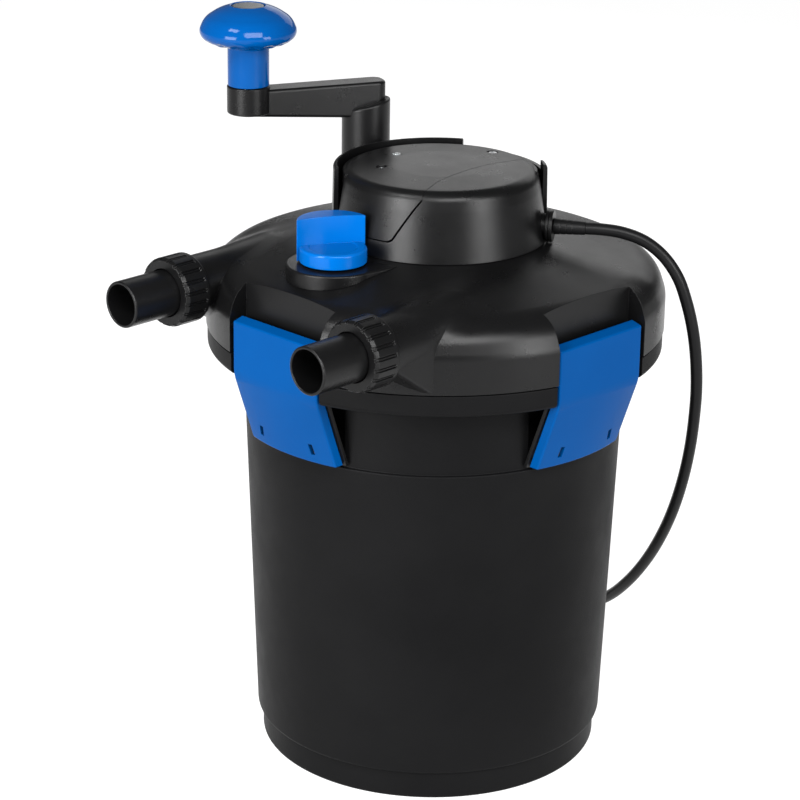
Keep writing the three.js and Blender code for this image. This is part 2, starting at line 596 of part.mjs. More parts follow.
function gearOutline(teeth, phase) {
  const pitch = (2 * Math.PI) / teeth;
  const rootRadius = (TOOTH * teeth) / 2 - 1.2 * TOOTH;
  const tipRadius = (TOOTH * teeth) / 2 + 0.85 * TOOTH;
  const at = (radius, angle) => [radius * Math.cos(angle), radius * Math.sin(angle)];
  return Array.from({ length: teeth }, (_, i) => {
    const middle = phase + i * pitch;
    return [
      at(rootRadius, middle - 0.33 * pitch),
      at(tipRadius, middle - 0.12 * pitch),
      at(tipRadius, middle + 0.12 * pitch),
      at(rootRadius, middle + 0.33 * pitch),
    ];
  }).flat();
}

function pinion() {
  const outline = gearOutline(PINION_TEETH, CRANK_ANGLE + Math.PI + Math.PI / PINION_TEETH);
  const gear = solid(prism(outline, GEAR_Z - 2, GEAR_Z + GEAR_H + 2).translate(CRANK_X, CRANK_Y, 0));
  return cut(gear, solid(disc(SHAFT_R + GAP, 300, 340, COARSE).translate(CRANK_X, CRANK_Y, 0)));
}

function addCrank() {
  const atCrank = (geometry) => solid(geometry.translate(CRANK_X, CRANK_Y, 0));
  add("crank_arm", crankArm(), BLACK);
  add("crank_shaft", atCrank(disc(SHAFT_R, 310, 530, COARSE)), STEEL);
  add("shaft_bush", atCrank(ring(SHAFT_R + 0.4, BUSH_R, 418.5, 446.2, COARSE)), WHITE);
  add("shaft_seal", atCrank(ring(SHAFT_R + 0.4, BUSH_R, 412.5, 418, COARSE)), RUBBER);
  add("drive_pinion", pinion(), WHITE);
  add("crank_knob", crankKnob(), BLUE);
  add("knob_cap", onGrip(disc(13.4, 618.4, 621.8)), BLACK);
  add("knob_pin", onGrip(disc(GRIP_PIN_R, BOSS_Z + 1, 615, COARSE)), STEEL);
}

// ---------------------------------------------------------------- sponge cartridge
function ringGear() {
  const gear = solid(prism(gearOutline(RING_TEETH, CRANK_ANGLE), GEAR_Z, GEAR_Z + GEAR_H));
  const hub = solid(disc(66, 294.4, GEAR_Z + 1));
  return cut(join(gear, hub), solid(disc(60, 290, 340)));
}

function strainerTube() {
  const tube = solid(ring(STRAINER_R - 3, STRAINER_R, 36.4, 285.7));
  const slot = box([-60, -5, 55], [60, 5, 270]);
  return cut(tube, ...[0, 1, 2].map((i) => solid(slot.clone().rotateZ((i * Math.PI) / 3))));
}

function addCartridge() {
  add("cartridge_base", solid(ring(PIVOT_R + 0.6, SPONGE_R + 2, 28, 36)), BLACK);
  for (const { name, z } of SPONGES) {
    add(`sponge_${name}`, solid(ring(SPONGE_INNER_R, SPONGE_R, z, z + SPONGE_H)), FOAM);
  }
  add("strainer_tube", strainerTube(), BLACK);
  add("cartridge_top", solid(ring(60, SPONGE_R + 2, 286, 294)), BLACK);
  add("ring_gear", ringGear(), WHITE);
  add("sponge_scraper", solid(box([-9, SPONGE_R + 2.5, 60], [9, SPONGE_R + 21, 270])), BLACK);
}

// ---------------------------------------------------------------- mains lead
function cableGland() {
  const profile = [[CORD_R + GAP, 70], [10, 70], [10, GLAND_FLANGE], [13.2, GLAND_FLANGE], [13.2, GLAND_FACE],
    [CORD_R + GAP, GLAND_FACE], [CORD_R + GAP, 70]];
  return outOfHead(lathe(profile, COARSE));
}

function strainRelief() {
  const start = GLAND_FACE + GAP;
  return outOfHead(lathe([[0, start], [6.6, start], [5.4, RELIEF_END], [0, RELIEF_END]], COARSE));
}

// The end of the lead, rising off the coil to the plug that lies on it
const onCoil = (angle, height) =>
  [COIL_X + PLUG_REACH * Math.cos(angle), COIL_Y + PLUG_REACH * Math.sin(angle), height];
const PLUG_Z = COIL_FLOOR + COIL_H + GAP + PLUG_R;

function plugLead() {
  const riseFrom = COIL_FLOOR + COIL_H - CORD_R;
  const points = Array.from({ length: 7 }, (_, i) => {
    const share = 0.5 + i / 12;
    const height = riseFrom + (PLUG_Z - riseFrom) * (1 - Math.cos(Math.PI * share)) / 2;
    return onCoil(PLUG_ANGLE - degrees(100) * (1 - share), height);
  });
  return cordTube(points, 10);
}

function mainsPlug() {
  const pins = [-9.5, 9.5].map((y) => disc(2.4, 55, 78, COARSE).translate(0, y, 0));
  const body = lathe([[0, 2 * GAP], [6, 2 * GAP], [8.5, 20], [PLUG_R - 3, 24], [PLUG_R, 30], [PLUG_R, 57],
    [0, 57]], COARSE);
  const lie = (geometry) =>
    solid(geometry.rotateX(-Math.PI / 2).rotateZ(PLUG_ANGLE).translate(...onCoil(PLUG_ANGLE, PLUG_Z)));
  return join(lie(body), ...pins.map(lie));
}

function addLead() {
  add("cable_gland", cableGland(), BLACK);
  add("strain_relief", strainRelief(), RUBBER);
  add("power_cord", cordTube(CORD_ROUTE, 40), RUBBER);
  const coil = ring(COIL_R - COIL_HALF_W, COIL_R + COIL_HALF_W, COIL_FLOOR, COIL_FLOOR + COIL_H);
  add("cord_coil", solid(coil.translate(COIL_X, COIL_Y, 0)), RUBBER);
  add("plug_lead", plugLead(), RUBBER);
  add("mains_plug", mainsPlug(), BLACK);
}

add("tank", tank(), TANK_BLACK);
add("lid", lid(), BLACK);
const lidSeal = ring(SEAL_R - SEAL_W / 2, SEAL_R + SEAL_W / 2, SEAM_Z - 4.7, LID_Z - GAP, FINE);
add("lid_seal", solid(lidSeal), RUBBER);
addClamps();
addPorts();
addHead();
addValve();
addCrank();
addCartridge();
addLead();

export default part;
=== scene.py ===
"""Looks of the pressurized pond filter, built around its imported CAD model.

Outlines and sizes are in millimetres, in the CAD frame, and become metres where a mesh is made.
"""
import json
import math

import bmesh
import bpy
from mathutils import Matrix, Vector


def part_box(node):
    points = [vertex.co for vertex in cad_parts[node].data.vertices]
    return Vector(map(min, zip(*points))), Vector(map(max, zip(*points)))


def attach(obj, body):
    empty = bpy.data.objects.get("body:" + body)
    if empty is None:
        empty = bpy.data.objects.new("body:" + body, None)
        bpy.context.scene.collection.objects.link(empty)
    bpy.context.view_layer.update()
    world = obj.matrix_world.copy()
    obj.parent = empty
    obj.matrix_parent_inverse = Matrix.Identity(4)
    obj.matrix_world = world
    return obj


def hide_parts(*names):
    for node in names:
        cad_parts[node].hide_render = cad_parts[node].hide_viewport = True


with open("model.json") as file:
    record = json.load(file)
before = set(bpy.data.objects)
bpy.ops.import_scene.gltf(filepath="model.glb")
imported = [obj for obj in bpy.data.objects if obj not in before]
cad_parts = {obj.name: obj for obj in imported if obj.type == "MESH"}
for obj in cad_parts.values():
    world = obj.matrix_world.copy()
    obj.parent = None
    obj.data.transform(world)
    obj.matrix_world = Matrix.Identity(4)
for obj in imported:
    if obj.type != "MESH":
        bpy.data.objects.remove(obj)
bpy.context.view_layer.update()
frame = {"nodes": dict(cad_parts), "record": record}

MM = 0.001


def span(node):
    """Lowest and highest corner of a CAD node in millimetres."""
    low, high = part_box(node)
    return low / MM, high / MM


# ---------------------------------------------------------------- sizes, in millimetres
GAP = 0.3
FINE = 288  # facets round the tank and the lid
ROUND = 128  # facets round pieces of 40 to 200 mm
SMALL = 64  # facets round small pieces
FAR = 700

FOOT_R = 144
FOOT_H = 24
TANK_BOTTOM_R = 148.5
TANK_TOP_R = 157.6
TANK_TOP_Z = 293
WALL = 4
NECK_R = 155
NECK_INNER_R = 142
POCKET_R = 147
POCKET_HALF_ANGLE = math.radians(17)
BAND_R = 189
BAND_Z = 354
SEAM_Z = span("tank")[1].z
LID_Z = span("lid")[0].z
LID_R = 190
LID_EYE_R = 62

PORTS = {"inlet": -107, "outlet": 107}
PORT_Z = 414
PIPE_R = 24
BORE_R = 15.5
PIPE_FROM = 70
PIPE_TO = 189
FILLET = 14  # how far the lid's dome and the pipes run together
FILLET_FROM_Z = 416  # they do so above this height, and fully from FILLET_RISE higher
FILLET_RISE = 14
# Sections of the web under each pipe, from the lid's wall to the union nut: y, half width, lower edge
GUSSET = [(-120, PIPE_R, LID_Z), (-138, PIPE_R, LID_Z), (-177, 20.5, 402)]
WEB_BELLY = 0.5  # how round the web under a pipe is, 0 for flat
TAIL_R = 19
TAIL_BORE_R = 16.6
TAIL_COLLAR_R = 23.4
TAIL_COLLAR_T = 4.5
TAIL_TO = -span("hose_tail_inlet")[0].y
NUT_R = 28.5
NUT_FROM = 178
NUT_TO = 203
NUT_LIP = 8
NUT_RIBS = 20
NUT_SEAT_R = PIPE_R + 0.7
NUT_LIP_R = TAIL_R + 0.7
NUT_GROOVE = 1.3
NUT_RIM = 3.2  # plain ring behind the ribs

HEAD_X = 3
HEAD_Z = 447
HEAD_R = 88.5
HEAD_PROFILE = [(HEAD_R, HEAD_Z), (82.5, 488, 30), (79.5, 503, 11), (40, 505.8, 80), (0, 506.5)]
HEAD_REAR_R = 80
HEAD_FLOOR_Z = 452.5
SPIGOT_R = 58
SPIGOT_BORE_R = 50
SPIGOT_Z = 425
COVER_Z = 461
COLLAR_R = 88.5
COLLAR_INNER_R = 84
COLLAR_TOP_Z = 505.5
COLLAR_LOW_Z = 498  # its top where it is cut lower at the back
COLLAR_FROM = math.radians(46)
COLLAR_TO = math.radians(235)
COLLAR_CUT = (math.radians(56), math.radians(121))
SCREWS = {"front": (-25, -40), "rear": (2.5, 63)}
LENS = (-42.5, -4.5)

VALVE_Y = -118
PLATE_R = 38
PLATE_TOP_Z = 446
KNOB_DISC_R = 27
KNOB_GRIP_R = 29
KNOB_FLAT = math.radians(62)  # direction of the grip's flat face
KNOB_FLAT_BACK = 6  # distance of that face behind the spindle's axis
KNOB_SCOOP_R = 90  # the face is hollowed a little
KNOB_Z = 447.5
KNOB_DISC_TOP = 459.5
KNOB_TOP = 481
SPINDLE_R = 6
SPINDLE_TOP = 456

CLAMPS = {"right": 0, "back": math.pi / 2, "left": math.pi, "front": -math.pi / 2}
COVER_HALF_W = 48.3
LEVER_HALF_W = 50.4
NOTCH_HALF_W = 51
NOTCH_BACK = 165
CLAMP_FACE = 182
CLAMP_TOP_Z = 400
CLAMP_KINK_Z = 355
CLAMP_BEND = 34
CLAMP_BOTTOM_Z = 296
CLAMP_BOTTOM_R = 168
CLAMP_TOP_SLOPE = 0.26
CLAMP_DEPTH = 9.5
COVER_T = 3
COVER_SIDE = 8
LEVER_GAP = 0.9
PIN_X = 175
PIN_Z = 394
PIN_R = 1.8
BARREL_R = 3.8
BARREL_HALF_W = 44.5
SLOT_Y = 29  # distance of a cover's small slots from its middle
SLOT_Z = 308.5
SLOT_LEAN = 0.14

CRANK_DISTANCE = 114
CRANK_ANGLE = math.radians(166.4)
CRANK_X = CRANK_DISTANCE * math.cos(CRANK_ANGLE)
CRANK_Y = CRANK_DISTANCE * math.sin(CRANK_ANGLE)
ARM_LENGTH = 104
ARM_ANGLE = math.radians(245.5)
ARM_HALF_W = 11
ARM_TOP_Z = 551
POST_R = 20.5
POST_Z = 447
POST_TOP_Z = 536
POST_CUT_Z = 531.5  # height of its slanted top on its axis
POST_CUT_NORMAL = (0.22, -0.1, 1)
BOSS_R = 18
BOSS_Z = 531
BOSS_TOP_Z = 554
SHAFT_R = 8
BUSH_R = 12
GRIP_PIN_R = 5
GRIP_STEM_R = 17.3
FLUTES = 16
FLUTE_DEPTH = 1.8
FLUTES_BELOW = 597  # the grip's underside

GLAND_ANGLE = math.radians(33)
GLAND_Z = 459.8
GLAND_FLANGE = 88.9
GLAND_FACE = 94.7
RELIEF_END = 121
RELIEF_R = 6.6
CORD_R = 5
COIL_X = -170
COIL_Y = 170
COIL_LANES = (72.5, 62.5, 52.5, 42.5)  # radii of the turns that lie side by side
COIL_FLOOR = 0.2
COIL_H = 30
COIL_STEPS = 72  # points of one turn
COIL_CHANGE = 0.24  # the last share of a turn, where it moves to the next lane
COIL_LIFT = math.radians(100)  # the last stretch, which rises to the plug
PLUG_ANGLE = math.radians(20)
PLUG_REACH = 42.5
PLUG_R = 18
PLUG_Z = COIL_FLOOR + COIL_H + GAP + PLUG_R
CORD_ROUTE = [
    (104.8, 66.1, 459.8), (114, 73, 459.7), (128, 84.5, 457.5), (142, 96, 451), (154, 106, 439),
    (163, 115, 421), (168, 122, 399), (171, 128, 375), (171, 134, 350), (168, 141, 320), (161, 149, 288),
    (151, 158, 255), (138, 167, 220), (121, 177, 184), (100, 188, 149), (75, 200, 115), (47, 211, 83),
    (15, 223, 54), (-20, 233, 31), (-58, 240, 14.5), (-96, 242.6, 6.6), (-131, 242.5, 5.3),
]


# ---------------------------------------------------------------- camera, light and floor
VIEW_AZIMUTH = math.radians(43.70)
CAMERA_DISTANCE = 2.13177
CAMERA_HEIGHT = 1.08778
CAMERA_DOWN = 0.3543
CAMERA_YAW = 0.0132
CAMERA_ROLL = 0.0138
CAMERA_LENS = 121.5
LIGHT_TARGET = Vector((0, 0, 0.33))


def make_camera():
    data = bpy.data.cameras.new("camera")
    data.sensor_width = 36
    data.lens = CAMERA_LENS
    data.clip_end = 50
    camera = bpy.data.objects.new("camera", data)
    bpy.context.collection.objects.link(camera)
    place = (Matrix.Rotation(VIEW_AZIMUTH, 4, "Z")
             @ Matrix.Translation((0, -CAMERA_DISTANCE, CAMERA_HEIGHT)))
    aim = (Matrix.Rotation(CAMERA_YAW, 4, "Z") @ Matrix.Rotation(math.pi / 2 - CAMERA_DOWN, 4, "X")
           @ Matrix.Rotation(CAMERA_ROLL, 4, "Z"))
    camera.matrix_world = place @ aim
    bpy.context.scene.camera = camera


def softbox(name, azimuth, elevation, distance, width, height, power):
    """A rectangular light that the object sees at an azimuth from the camera's side, and an elevation."""
    data = bpy.data.lights.new(name, "AREA")
    data.shape = "RECTANGLE"
    data.size = width
    data.size_y = height
    data.energy = power
    light = bpy.data.objects.new(name, data)
    bpy.context.collection.objects.link(light)
    turn = VIEW_AZIMUTH + math.radians(azimuth)
    lift = math.radians(elevation)
    away = Vector((math.sin(turn) * math.cos(lift), -math.cos(turn) * math.cos(lift), math.sin(lift)))
    light.location = LIGHT_TARGET + away * distance
    light.rotation_mode = "QUATERNION"
    light.rotation_quaternion = (-away).to_track_quat("-Z", "Y")


def make_studio():
    world = bpy.data.worlds.new("studio")
    bpy.context.scene.world = world
    world.use_nodes = True
    background = world.node_tree.nodes["Background"]
    background.inputs["Color"].default_value = (1, 1, 1, 1)
    background.inputs["Strength"].default_value = 0.16
    softbox("left_box", -42, 12, 2.2, 1.0, 1.2, 88)
    softbox("right_box", 48, 12, 2.4, 0.8, 1.3, 56)
    softbox("upper_left_box", -48, 50, 1.6, 0.5, 0.35, 13)
    softbox("front_top_box", 14, 38, 2.2, 1.5, 0.6, 56)
    softbox("back_box", 165, 24, 2.6, 2.1, 1.1, 10)
    bpy.ops.mesh.primitive_plane_add(size=11, location=(0, 0, 0))
    floor = bpy.context.object
    floor.name = "floor"
    material, shader = new_material("floor_paint")
    shader.inputs["Base Color"].default_value = (0.25, 0.25, 0.25, 1)
    shader.inputs["Roughness"].default_value = 0.9
    shader.inputs["Emission Color"].default_value = (1, 1, 1, 1)
    shader.inputs["Emission Strength"].default_value = 0.9
    floor.data.materials.append(material)
    bpy.context.scene.view_settings.view_transform = "Standard"


# ---------------------------------------------------------------- materials
def new_material(name):
    material = bpy.data.materials.new(name)
    material.use_nodes = True
    return material, material.node_tree.nodes["Principled BSDF"]


def noise(tree, scale, detail=2.0, roughness=0.5, stretch=(1, 1, 1)):
    """Noise over the object's own metres, stretched along its axes."""
    nodes = tree.nodes
    place = nodes.new("ShaderNodeTexCoord")
    mapping = nodes.new("ShaderNodeMapping")
    mapping.inputs["Scale"].default_value = stretch
    texture = nodes.new("ShaderNodeTexNoise")
    texture.inputs["Scale"].default_value = scale
    texture.inputs["Detail"].default_value = detail
    texture.inputs["Roughness"].default_value = roughness
    tree.links.new(place.outputs["Object"], mapping.inputs["Vector"])
    tree.links.new(mapping.outputs["Vector"], texture.inputs["Vector"])
    return texture.outputs["Fac"]


def between(tree, factor, low, high):
    """A value that runs from low to high as a noise's middle range does."""
    reach = tree.nodes.new("ShaderNodeMapRange")
    reach.inputs["From Min"].default_value = 0.3
    reach.inputs["From Max"].default_value = 0.7
    reach.inputs["To Min"].default_value = low
    reach.inputs["To Max"].default_value = high
    tree.links.new(factor, reach.inputs["Value"])
    return reach.outputs["Result"]


def tinted(tree, factor, dark, light):
    mix = tree.nodes.new("ShaderNodeMix")
    mix.data_type = "RGBA"
    mix.inputs["A"].default_value = (*dark, 1)
    mix.inputs["B"].default_value = (*light, 1)
    tree.links.new(between(tree, factor, 0, 1), mix.inputs["Factor"])
    return mix.outputs["Result"]


EDGE_RADIUS = 0.0005  # in metres, how far a moulded edge is softened


def moulded(name, dark, light, rough, grain=0.00012, grain_scale=2600, specular=0.5):
    """Moulded plastic: a colour that drifts a little, a fine grain, handling marks and softened edges."""
    material, shader = new_material(name)
    tree = material.node_tree
    tree.links.new(tinted(tree, noise(tree, 9, 4), dark, light), shader.inputs["Base Color"])
    marks = noise(tree, 34, 5, 0.65)
    tree.links.new(between(tree, marks, rough[0], rough[1]), shader.inputs["Roughness"])
    shader.inputs["Specular IOR Level"].default_value = specular
    bevel = tree.nodes.new("ShaderNodeBevel")
    bevel.samples = 6
    bevel.inputs["Radius"].default_value = EDGE_RADIUS
    waves = tree.nodes.new("ShaderNodeBump")
    waves.inputs["Strength"].default_value = 0.12
    waves.inputs["Distance"].default_value = 0.001
    tree.links.new(noise(tree, 16, 1), waves.inputs["Height"])
    tree.links.new(bevel.outputs["Normal"], waves.inputs["Normal"])
    fine = tree.nodes.new("ShaderNodeBump")
    fine.inputs["Strength"].default_value = 0.6
    fine.inputs["Distance"].default_value = grain
    tree.links.new(noise(tree, grain_scale, 1), fine.inputs["Height"])
    tree.links.new(waves.outputs["Normal"], fine.inputs["Normal"])
    tree.links.new(fine.outputs["Normal"], shader.inputs["Normal"])
    return material


def turned_steel(name):
    material, shader = new_material(name)
    tree = material.node_tree
    shader.inputs["Metallic"].default_value = 1
    lines = noise(tree, 900, 2, 0.5, (0.05, 0.05, 1))
    tint = tinted(tree, noise(tree, 60, 3), (0.50, 0.51, 0.53), (0.62, 0.63, 0.64))
    tree.links.new(tint, shader.inputs["Base Color"])
    tree.links.new(between(tree, lines, 0.22, 0.42), shader.inputs["Roughness"])
    return material


def clear_glass(name):
    material, shader = new_material(name)
    tree = material.node_tree
    shader.inputs["Transmission Weight"].default_value = 0.85
    shader.inputs["IOR"].default_value = 1.45
    tint = tinted(tree, noise(tree, 40, 2), (0.86, 0.92, 0.93), (0.93, 0.96, 0.97))
    tree.links.new(tint, shader.inputs["Base Color"])
    tree.links.new(between(tree, noise(tree, 120, 3), 0.03, 0.12), shader.inputs["Roughness"])
    return material


def open_foam(name):
    material, shader = new_material(name)
    tree = material.node_tree
    pores = tree.nodes.new("ShaderNodeTexVoronoi")
    pores.inputs["Scale"].default_value = 420
    place = tree.nodes.new("ShaderNodeTexCoord")
    tree.links.new(place.outputs["Object"], pores.inputs["Vector"])
    # painted shade: the colour is darker in the pits of the pores, where the bump sinks in
    tint = tinted(tree, pores.outputs["Distance"], (0.004, 0.004, 0.005), (0.035, 0.038, 0.042))
    tree.links.new(tint, shader.inputs["Base Color"])
    shader.inputs["Roughness"].default_value = 0.95
    bump = tree.nodes.new("ShaderNodeBump")
    bump.inputs["Distance"].default_value = 0.0015
    tree.links.new(pores.outputs["Distance"], bump.inputs["Height"])
    tree.links.new(bump.outputs["Normal"], shader.inputs["Normal"])
    return material


MATERIALS = {
    "black_plastic": moulded("black_plastic", (0.0022, 0.0022, 0.0023), (0.0034, 0.0034, 0.0036),
                             (0.26, 0.33), specular=0.17),
    "tank_plastic": moulded("tank_plastic", (0.0026, 0.0026, 0.0028), (0.004, 0.004, 0.0042),
                            (0.42, 0.5), grain=0.0002, grain_scale=1500, specular=0.045),
    "blue_plastic": moulded("blue_plastic", (0.0, 0.062, 0.245), (0.0, 0.071, 0.275),
                            (0.11, 0.16), grain=0.00002, specular=0.11),
    # painted shade: the clamp covers get a darker copy of the one blue plastic; their low specular is their
    # real matte finish
    "shaded_matte_blue_plastic": moulded("shaded_matte_blue_plastic", (0.0, 0.036, 0.142), (0.0, 0.042, 0.162),
                                 (0.16, 0.22), grain=0.00002, specular=0.03),
    # painted shade: the crank's grip gets a darker copy of the one blue plastic; its low roughness is its
    # real gloss
    "shaded_gloss_blue_plastic": moulded("shaded_gloss_blue_plastic", (0.0, 0.038, 0.152), (0.0, 0.043, 0.17),
                                  (0.06, 0.1), grain=0.00001, specular=0.12),
    "grey_plastic": moulded("grey_plastic", (0.03, 0.031, 0.031), (0.042, 0.043, 0.043), (0.28, 0.36)),
    "seal_rubber": moulded("seal_rubber", (0.006, 0.006, 0.006), (0.012, 0.012, 0.012), (0.6, 0.75)),
    "cord_rubber": moulded("cord_rubber", (0.003, 0.003, 0.0032), (0.0045, 0.0045, 0.0048),
                           (0.32, 0.42), grain=0.00008, grain_scale=1800, specular=0.12),
    "sponge_foam": open_foam("sponge_foam"),
    "steel": turned_steel("steel"),
    "white_plastic": moulded("white_plastic", (0.70, 0.69, 0.64), (0.80, 0.79, 0.75), (0.38, 0.5)),
    "clear_glass": clear_glass("clear_glass"),
}


# ---------------------------------------------------------------- mesh helpers, in millimetres
def solid(points, faces):
    """A temporary object of a closed mesh whose faces are turned outwards."""
    mesh = bpy.data.meshes.new("solid")
    mesh.from_pydata([tuple(value * MM for value in point) for point in points], [], faces)
    work = bmesh.new()
    work.from_mesh(mesh)
    bmesh.ops.recalc_face_normals(work, faces=work.faces)
    work.to_mesh(mesh)
    work.free()
    made = bpy.data.objects.new("solid", mesh)
    bpy.context.collection.objects.link(made)
    return made


def rounded(corners, closed=False, steps=6):
    """A polyline whose corners (x, y, radius) are rounded where a radius is given."""
    made = []
    count = len(corners)
    for i, corner in enumerate(corners):
        point = Vector(corner[:2])
        inner = closed or 0 < i < count - 1
        if len(corner) < 3 or not inner:
            made.append(tuple(point))
            continue
        before = Vector(corners[i - 1][:2]) - point
        after = Vector(corners[(i + 1) % count][:2]) - point
        half = before.angle(after) / 2
        reach = min(corner[2] / math.tan(half), before.length * 0.49, after.length * 0.49)
        radius = reach * math.tan(half)
        middle = (before.normalized() + after.normalized()).normalized()
        centre = point + middle * (radius / math.sin(half))
        start = point + before.normalized() * reach - centre
        end = point + after.normalized() * reach - centre
        turn = start.angle_signed(end)
        for step in range(steps + 1):
            swung = Matrix.Rotation(-turn * step / steps, 2) @ start
            made.append(tuple(centre + swung))
    return made


def dense(points, gap):
    """The same polyline with its long stretches divided."""
    made = [points[0]]
    for start, end in zip(points, points[1:]):
        count = max(1, math.ceil(math.dist(start, end) / gap))
        for step in range(1, count + 1):
            share = step / count
            made.append(tuple(a + (b - a) * share for a, b in zip(start, end)))
    return made


def skin(rings):
    """A closed solid through rings of equal length; a ring of one point is a tip."""
    points = []
    starts = []
    for ring in rings:
        starts.append(len(points))
        points.extend(ring)
    faces = []
    for i in range(len(rings) - 1):
        near, far = rings[i], rings[i + 1]
        count = max(len(near), len(far))
        for j in range(count):
            k = (j + 1) % count
            corners = []
            for start, ring, index in ((starts[i], near, j), (starts[i], near, k),
                                       (starts[i + 1], far, k), (starts[i + 1], far, j)):
                corner = start + (index if len(ring) > 1 else 0)
                if corner not in corners:
                    corners.append(corner)
            if len(corners) > 2:
                faces.append(corners)
    return solid(points, faces)


def lathe(profile, facets=ROUND, shape=None):
    """A profile of (radius, height) turned about +Z, whose points shape(point) may move.

    The profile starts and ends on the axis, or closes on itself.
    """
    rings = []
    for radius, height in profile:
        if radius < 1e-9:
            rings.append([(0, 0, height)])
            continue
        ring = []
        for step in range(facets):
            angle = 2 * math.pi * step / facets
            point = (radius * math.cos(angle), radius * math.sin(angle), height)
            ring.append(shape(point) if shape else point)
        rings.append(ring)
    if profile[0][0] > 1e-9:
        rings.append(rings[0])
        return closed_skin(rings[:-1])
    return skin(rings)


def closed_skin(rings):
    """A ring-shaped solid: the last ring joins the first one again."""
    count = len(rings[0])
    points = [point for ring in rings for point in ring]
    faces = []
    for i in range(len(rings)):
        j = (i + 1) % len(rings)
        for k in range(count):
            m = (k + 1) % count
            faces.append((i * count + k, i * count + m, j * count + m, j * count + k))
    return solid(points, faces)


def loft(sections):
    """A solid through open-ended sections of equal length, closed by its first and last one."""
    count = len(sections[0])
    points = [point for section in sections for point in section]
    faces = [tuple(range(count)), tuple(range((len(sections) - 1) * count, len(sections) * count))]
    for i in range(len(sections) - 1):
        for j in range(count):
            k = (j + 1) % count
            faces.append((i * count + j, i * count + k, (i + 1) * count + k, (i + 1) * count + j))
    return solid(points, faces)


def ring(inner, outer, low, high, facets=ROUND):
    if inner <= 0:
        return lathe([(0, low), (outer, low), (outer, high), (0, high)], facets)
    return lathe([(inner, low), (outer, low), (outer, high), (inner, high)], facets)


def disc(radius, low, high, facets=ROUND):
    return ring(0, radius, low, high, facets)


def prism(outline, low, high):
    count = len(outline)
    points = [(x, y, low) for x, y in outline] + [(x, y, high) for x, y in outline]
    faces = [tuple(range(count)), tuple(range(count, 2 * count))]
    faces += [(i, (i + 1) % count, count + (i + 1) % count, count + i) for i in range(count)]
    return solid(points, faces)


def box(low, high):
    outline = [(low[0], low[1]), (high[0], low[1]), (high[0], high[1]), (low[0], high[1])]
    return prism(outline, low[2], high[2])


def wall(outline, near, far):
    """An outline of (x, z) points drawn out along Y between two values."""
    return moved(prism(outline, -far, -near), Matrix.Rotation(math.pi / 2, 4, "X"))


def arc(radius, start, end, steps, x=0.0, y=0.0):
    angles = [start + (end - start) * step / steps for step in range(steps + 1)]
    return [(x + radius * math.cos(angle), y + radius * math.sin(angle)) for angle in angles]


def sector(inner, outer, start, end, low, high, steps=64):
    return prism(arc(outer, start, end, steps) + arc(inner, end, start, steps), low, high)


def shift(x=0.0, y=0.0, z=0.0):
    return Matrix.Translation((x * MM, y * MM, z * MM))


def moved(piece, matrix):
    piece.data.transform(matrix)
    return piece


def turned(piece, angle):
    return moved(piece, Matrix.Rotation(angle, 4, "Z"))


def twin(piece):
    made = piece.copy()
    made.data = piece.data.copy()
    bpy.context.collection.objects.link(made)
    return made


def settle(piece):
    """Turns the piece's modifiers into its mesh."""
    seen = piece.evaluated_get(bpy.context.evaluated_depsgraph_get())
    mesh = bpy.data.meshes.new_from_object(seen)
    piece.modifiers.clear()
    piece.data = mesh
    return piece


def combine(operation, piece, others):
    for other in others:
        modifier = piece.modifiers.new("combine", "BOOLEAN")
        modifier.operation = operation
        modifier.solver = "MANIFOLD"
        modifier.object = other
    settle(piece)
    for other in others:
        bpy.data.objects.remove(other)
    return piece


def cut(piece, *others):
    return combine("DIFFERENCE", piece, others)


def join(piece, *others):
    return combine("UNION", piece, others)


def common(piece, *others):
    return combine("INTERSECT", piece, others)


def eased(piece, width, steps=3, angle=30):
    """The piece with its sharp edges rounded."""
    modifier = piece.modifiers.new("ease", "BEVEL")
    modifier.width = width * MM
    modifier.segments = steps
    modifier.limit_method = "ANGLE"
    modifier.angle_limit = math.radians(angle)
    modifier.harden_normals = False
    return settle(piece)


def on_each_side(piece):
    made = [turned(twin(piece), turn) for turn in CLAMPS.values()]
    bpy.data.objects.remove(piece)
    return made


def show(piece, name, slot, body, *nodes, sharp=32, paint=None):
    """Makes a finished solid one of the object's pieces, in place of the CAD nodes it stands for."""
    piece.name = name
    piece.data.name = name
    piece.data.materials.clear()
    piece.data.materials.append(MATERIALS[paint or slot])
    for polygon in piece.data.polygons:
        polygon.material_index = 0
        polygon.use_smooth = True
    piece.data.set_sharp_from_angle(angle=math.radians(sharp))
    weighted = piece.modifiers.new("normals", "WEIGHTED_NORMAL")
    weighted.keep_sharp = True
    weighted.mode = "FACE_AREA"
    settle(piece)
    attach(piece, body)
    if nodes:
        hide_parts(*nodes)
    return piece


# ---------------------------------------------------------------- tank
def make_tank():
    outside = lathe(rounded([
        (0, 0), (FOOT_R, 0, 3), (FOOT_R, FOOT_H, 1), (TANK_BOTTOM_R, FOOT_H + 1.5, 5),
        (TANK_TOP_R, TANK_TOP_Z, 1.4), (NECK_R, TANK_TOP_Z, 0.8), (NECK_R, BAND_Z, 1.5),
        (BAND_R, BAND_Z, 4.5), (BAND_R, SEAM_Z, 0.8),
        (NECK_INNER_R, SEAM_Z, 0.8), (NECK_INNER_R, TANK_TOP_Z, 3), (TANK_TOP_R - WALL, TANK_TOP_Z - 14, 3),
        (FOOT_R - WALL, 6, 4), (0, 6)]), FINE)
    pocket = sector(POCKET_R, LID_R + 5, -POCKET_HALF_ANGLE, POCKET_HALF_ANGLE, TANK_TOP_Z + 1, BAND_Z)
    notch = box((NOTCH_BACK, -NOTCH_HALF_W, BAND_Z - 1), (FAR, NOTCH_HALF_W, FAR))
    tank = cut(outside, *on_each_side(notch), *on_each_side(pocket))
    show(tank, "tank_shell", "tank_plastic", "root", "tank")


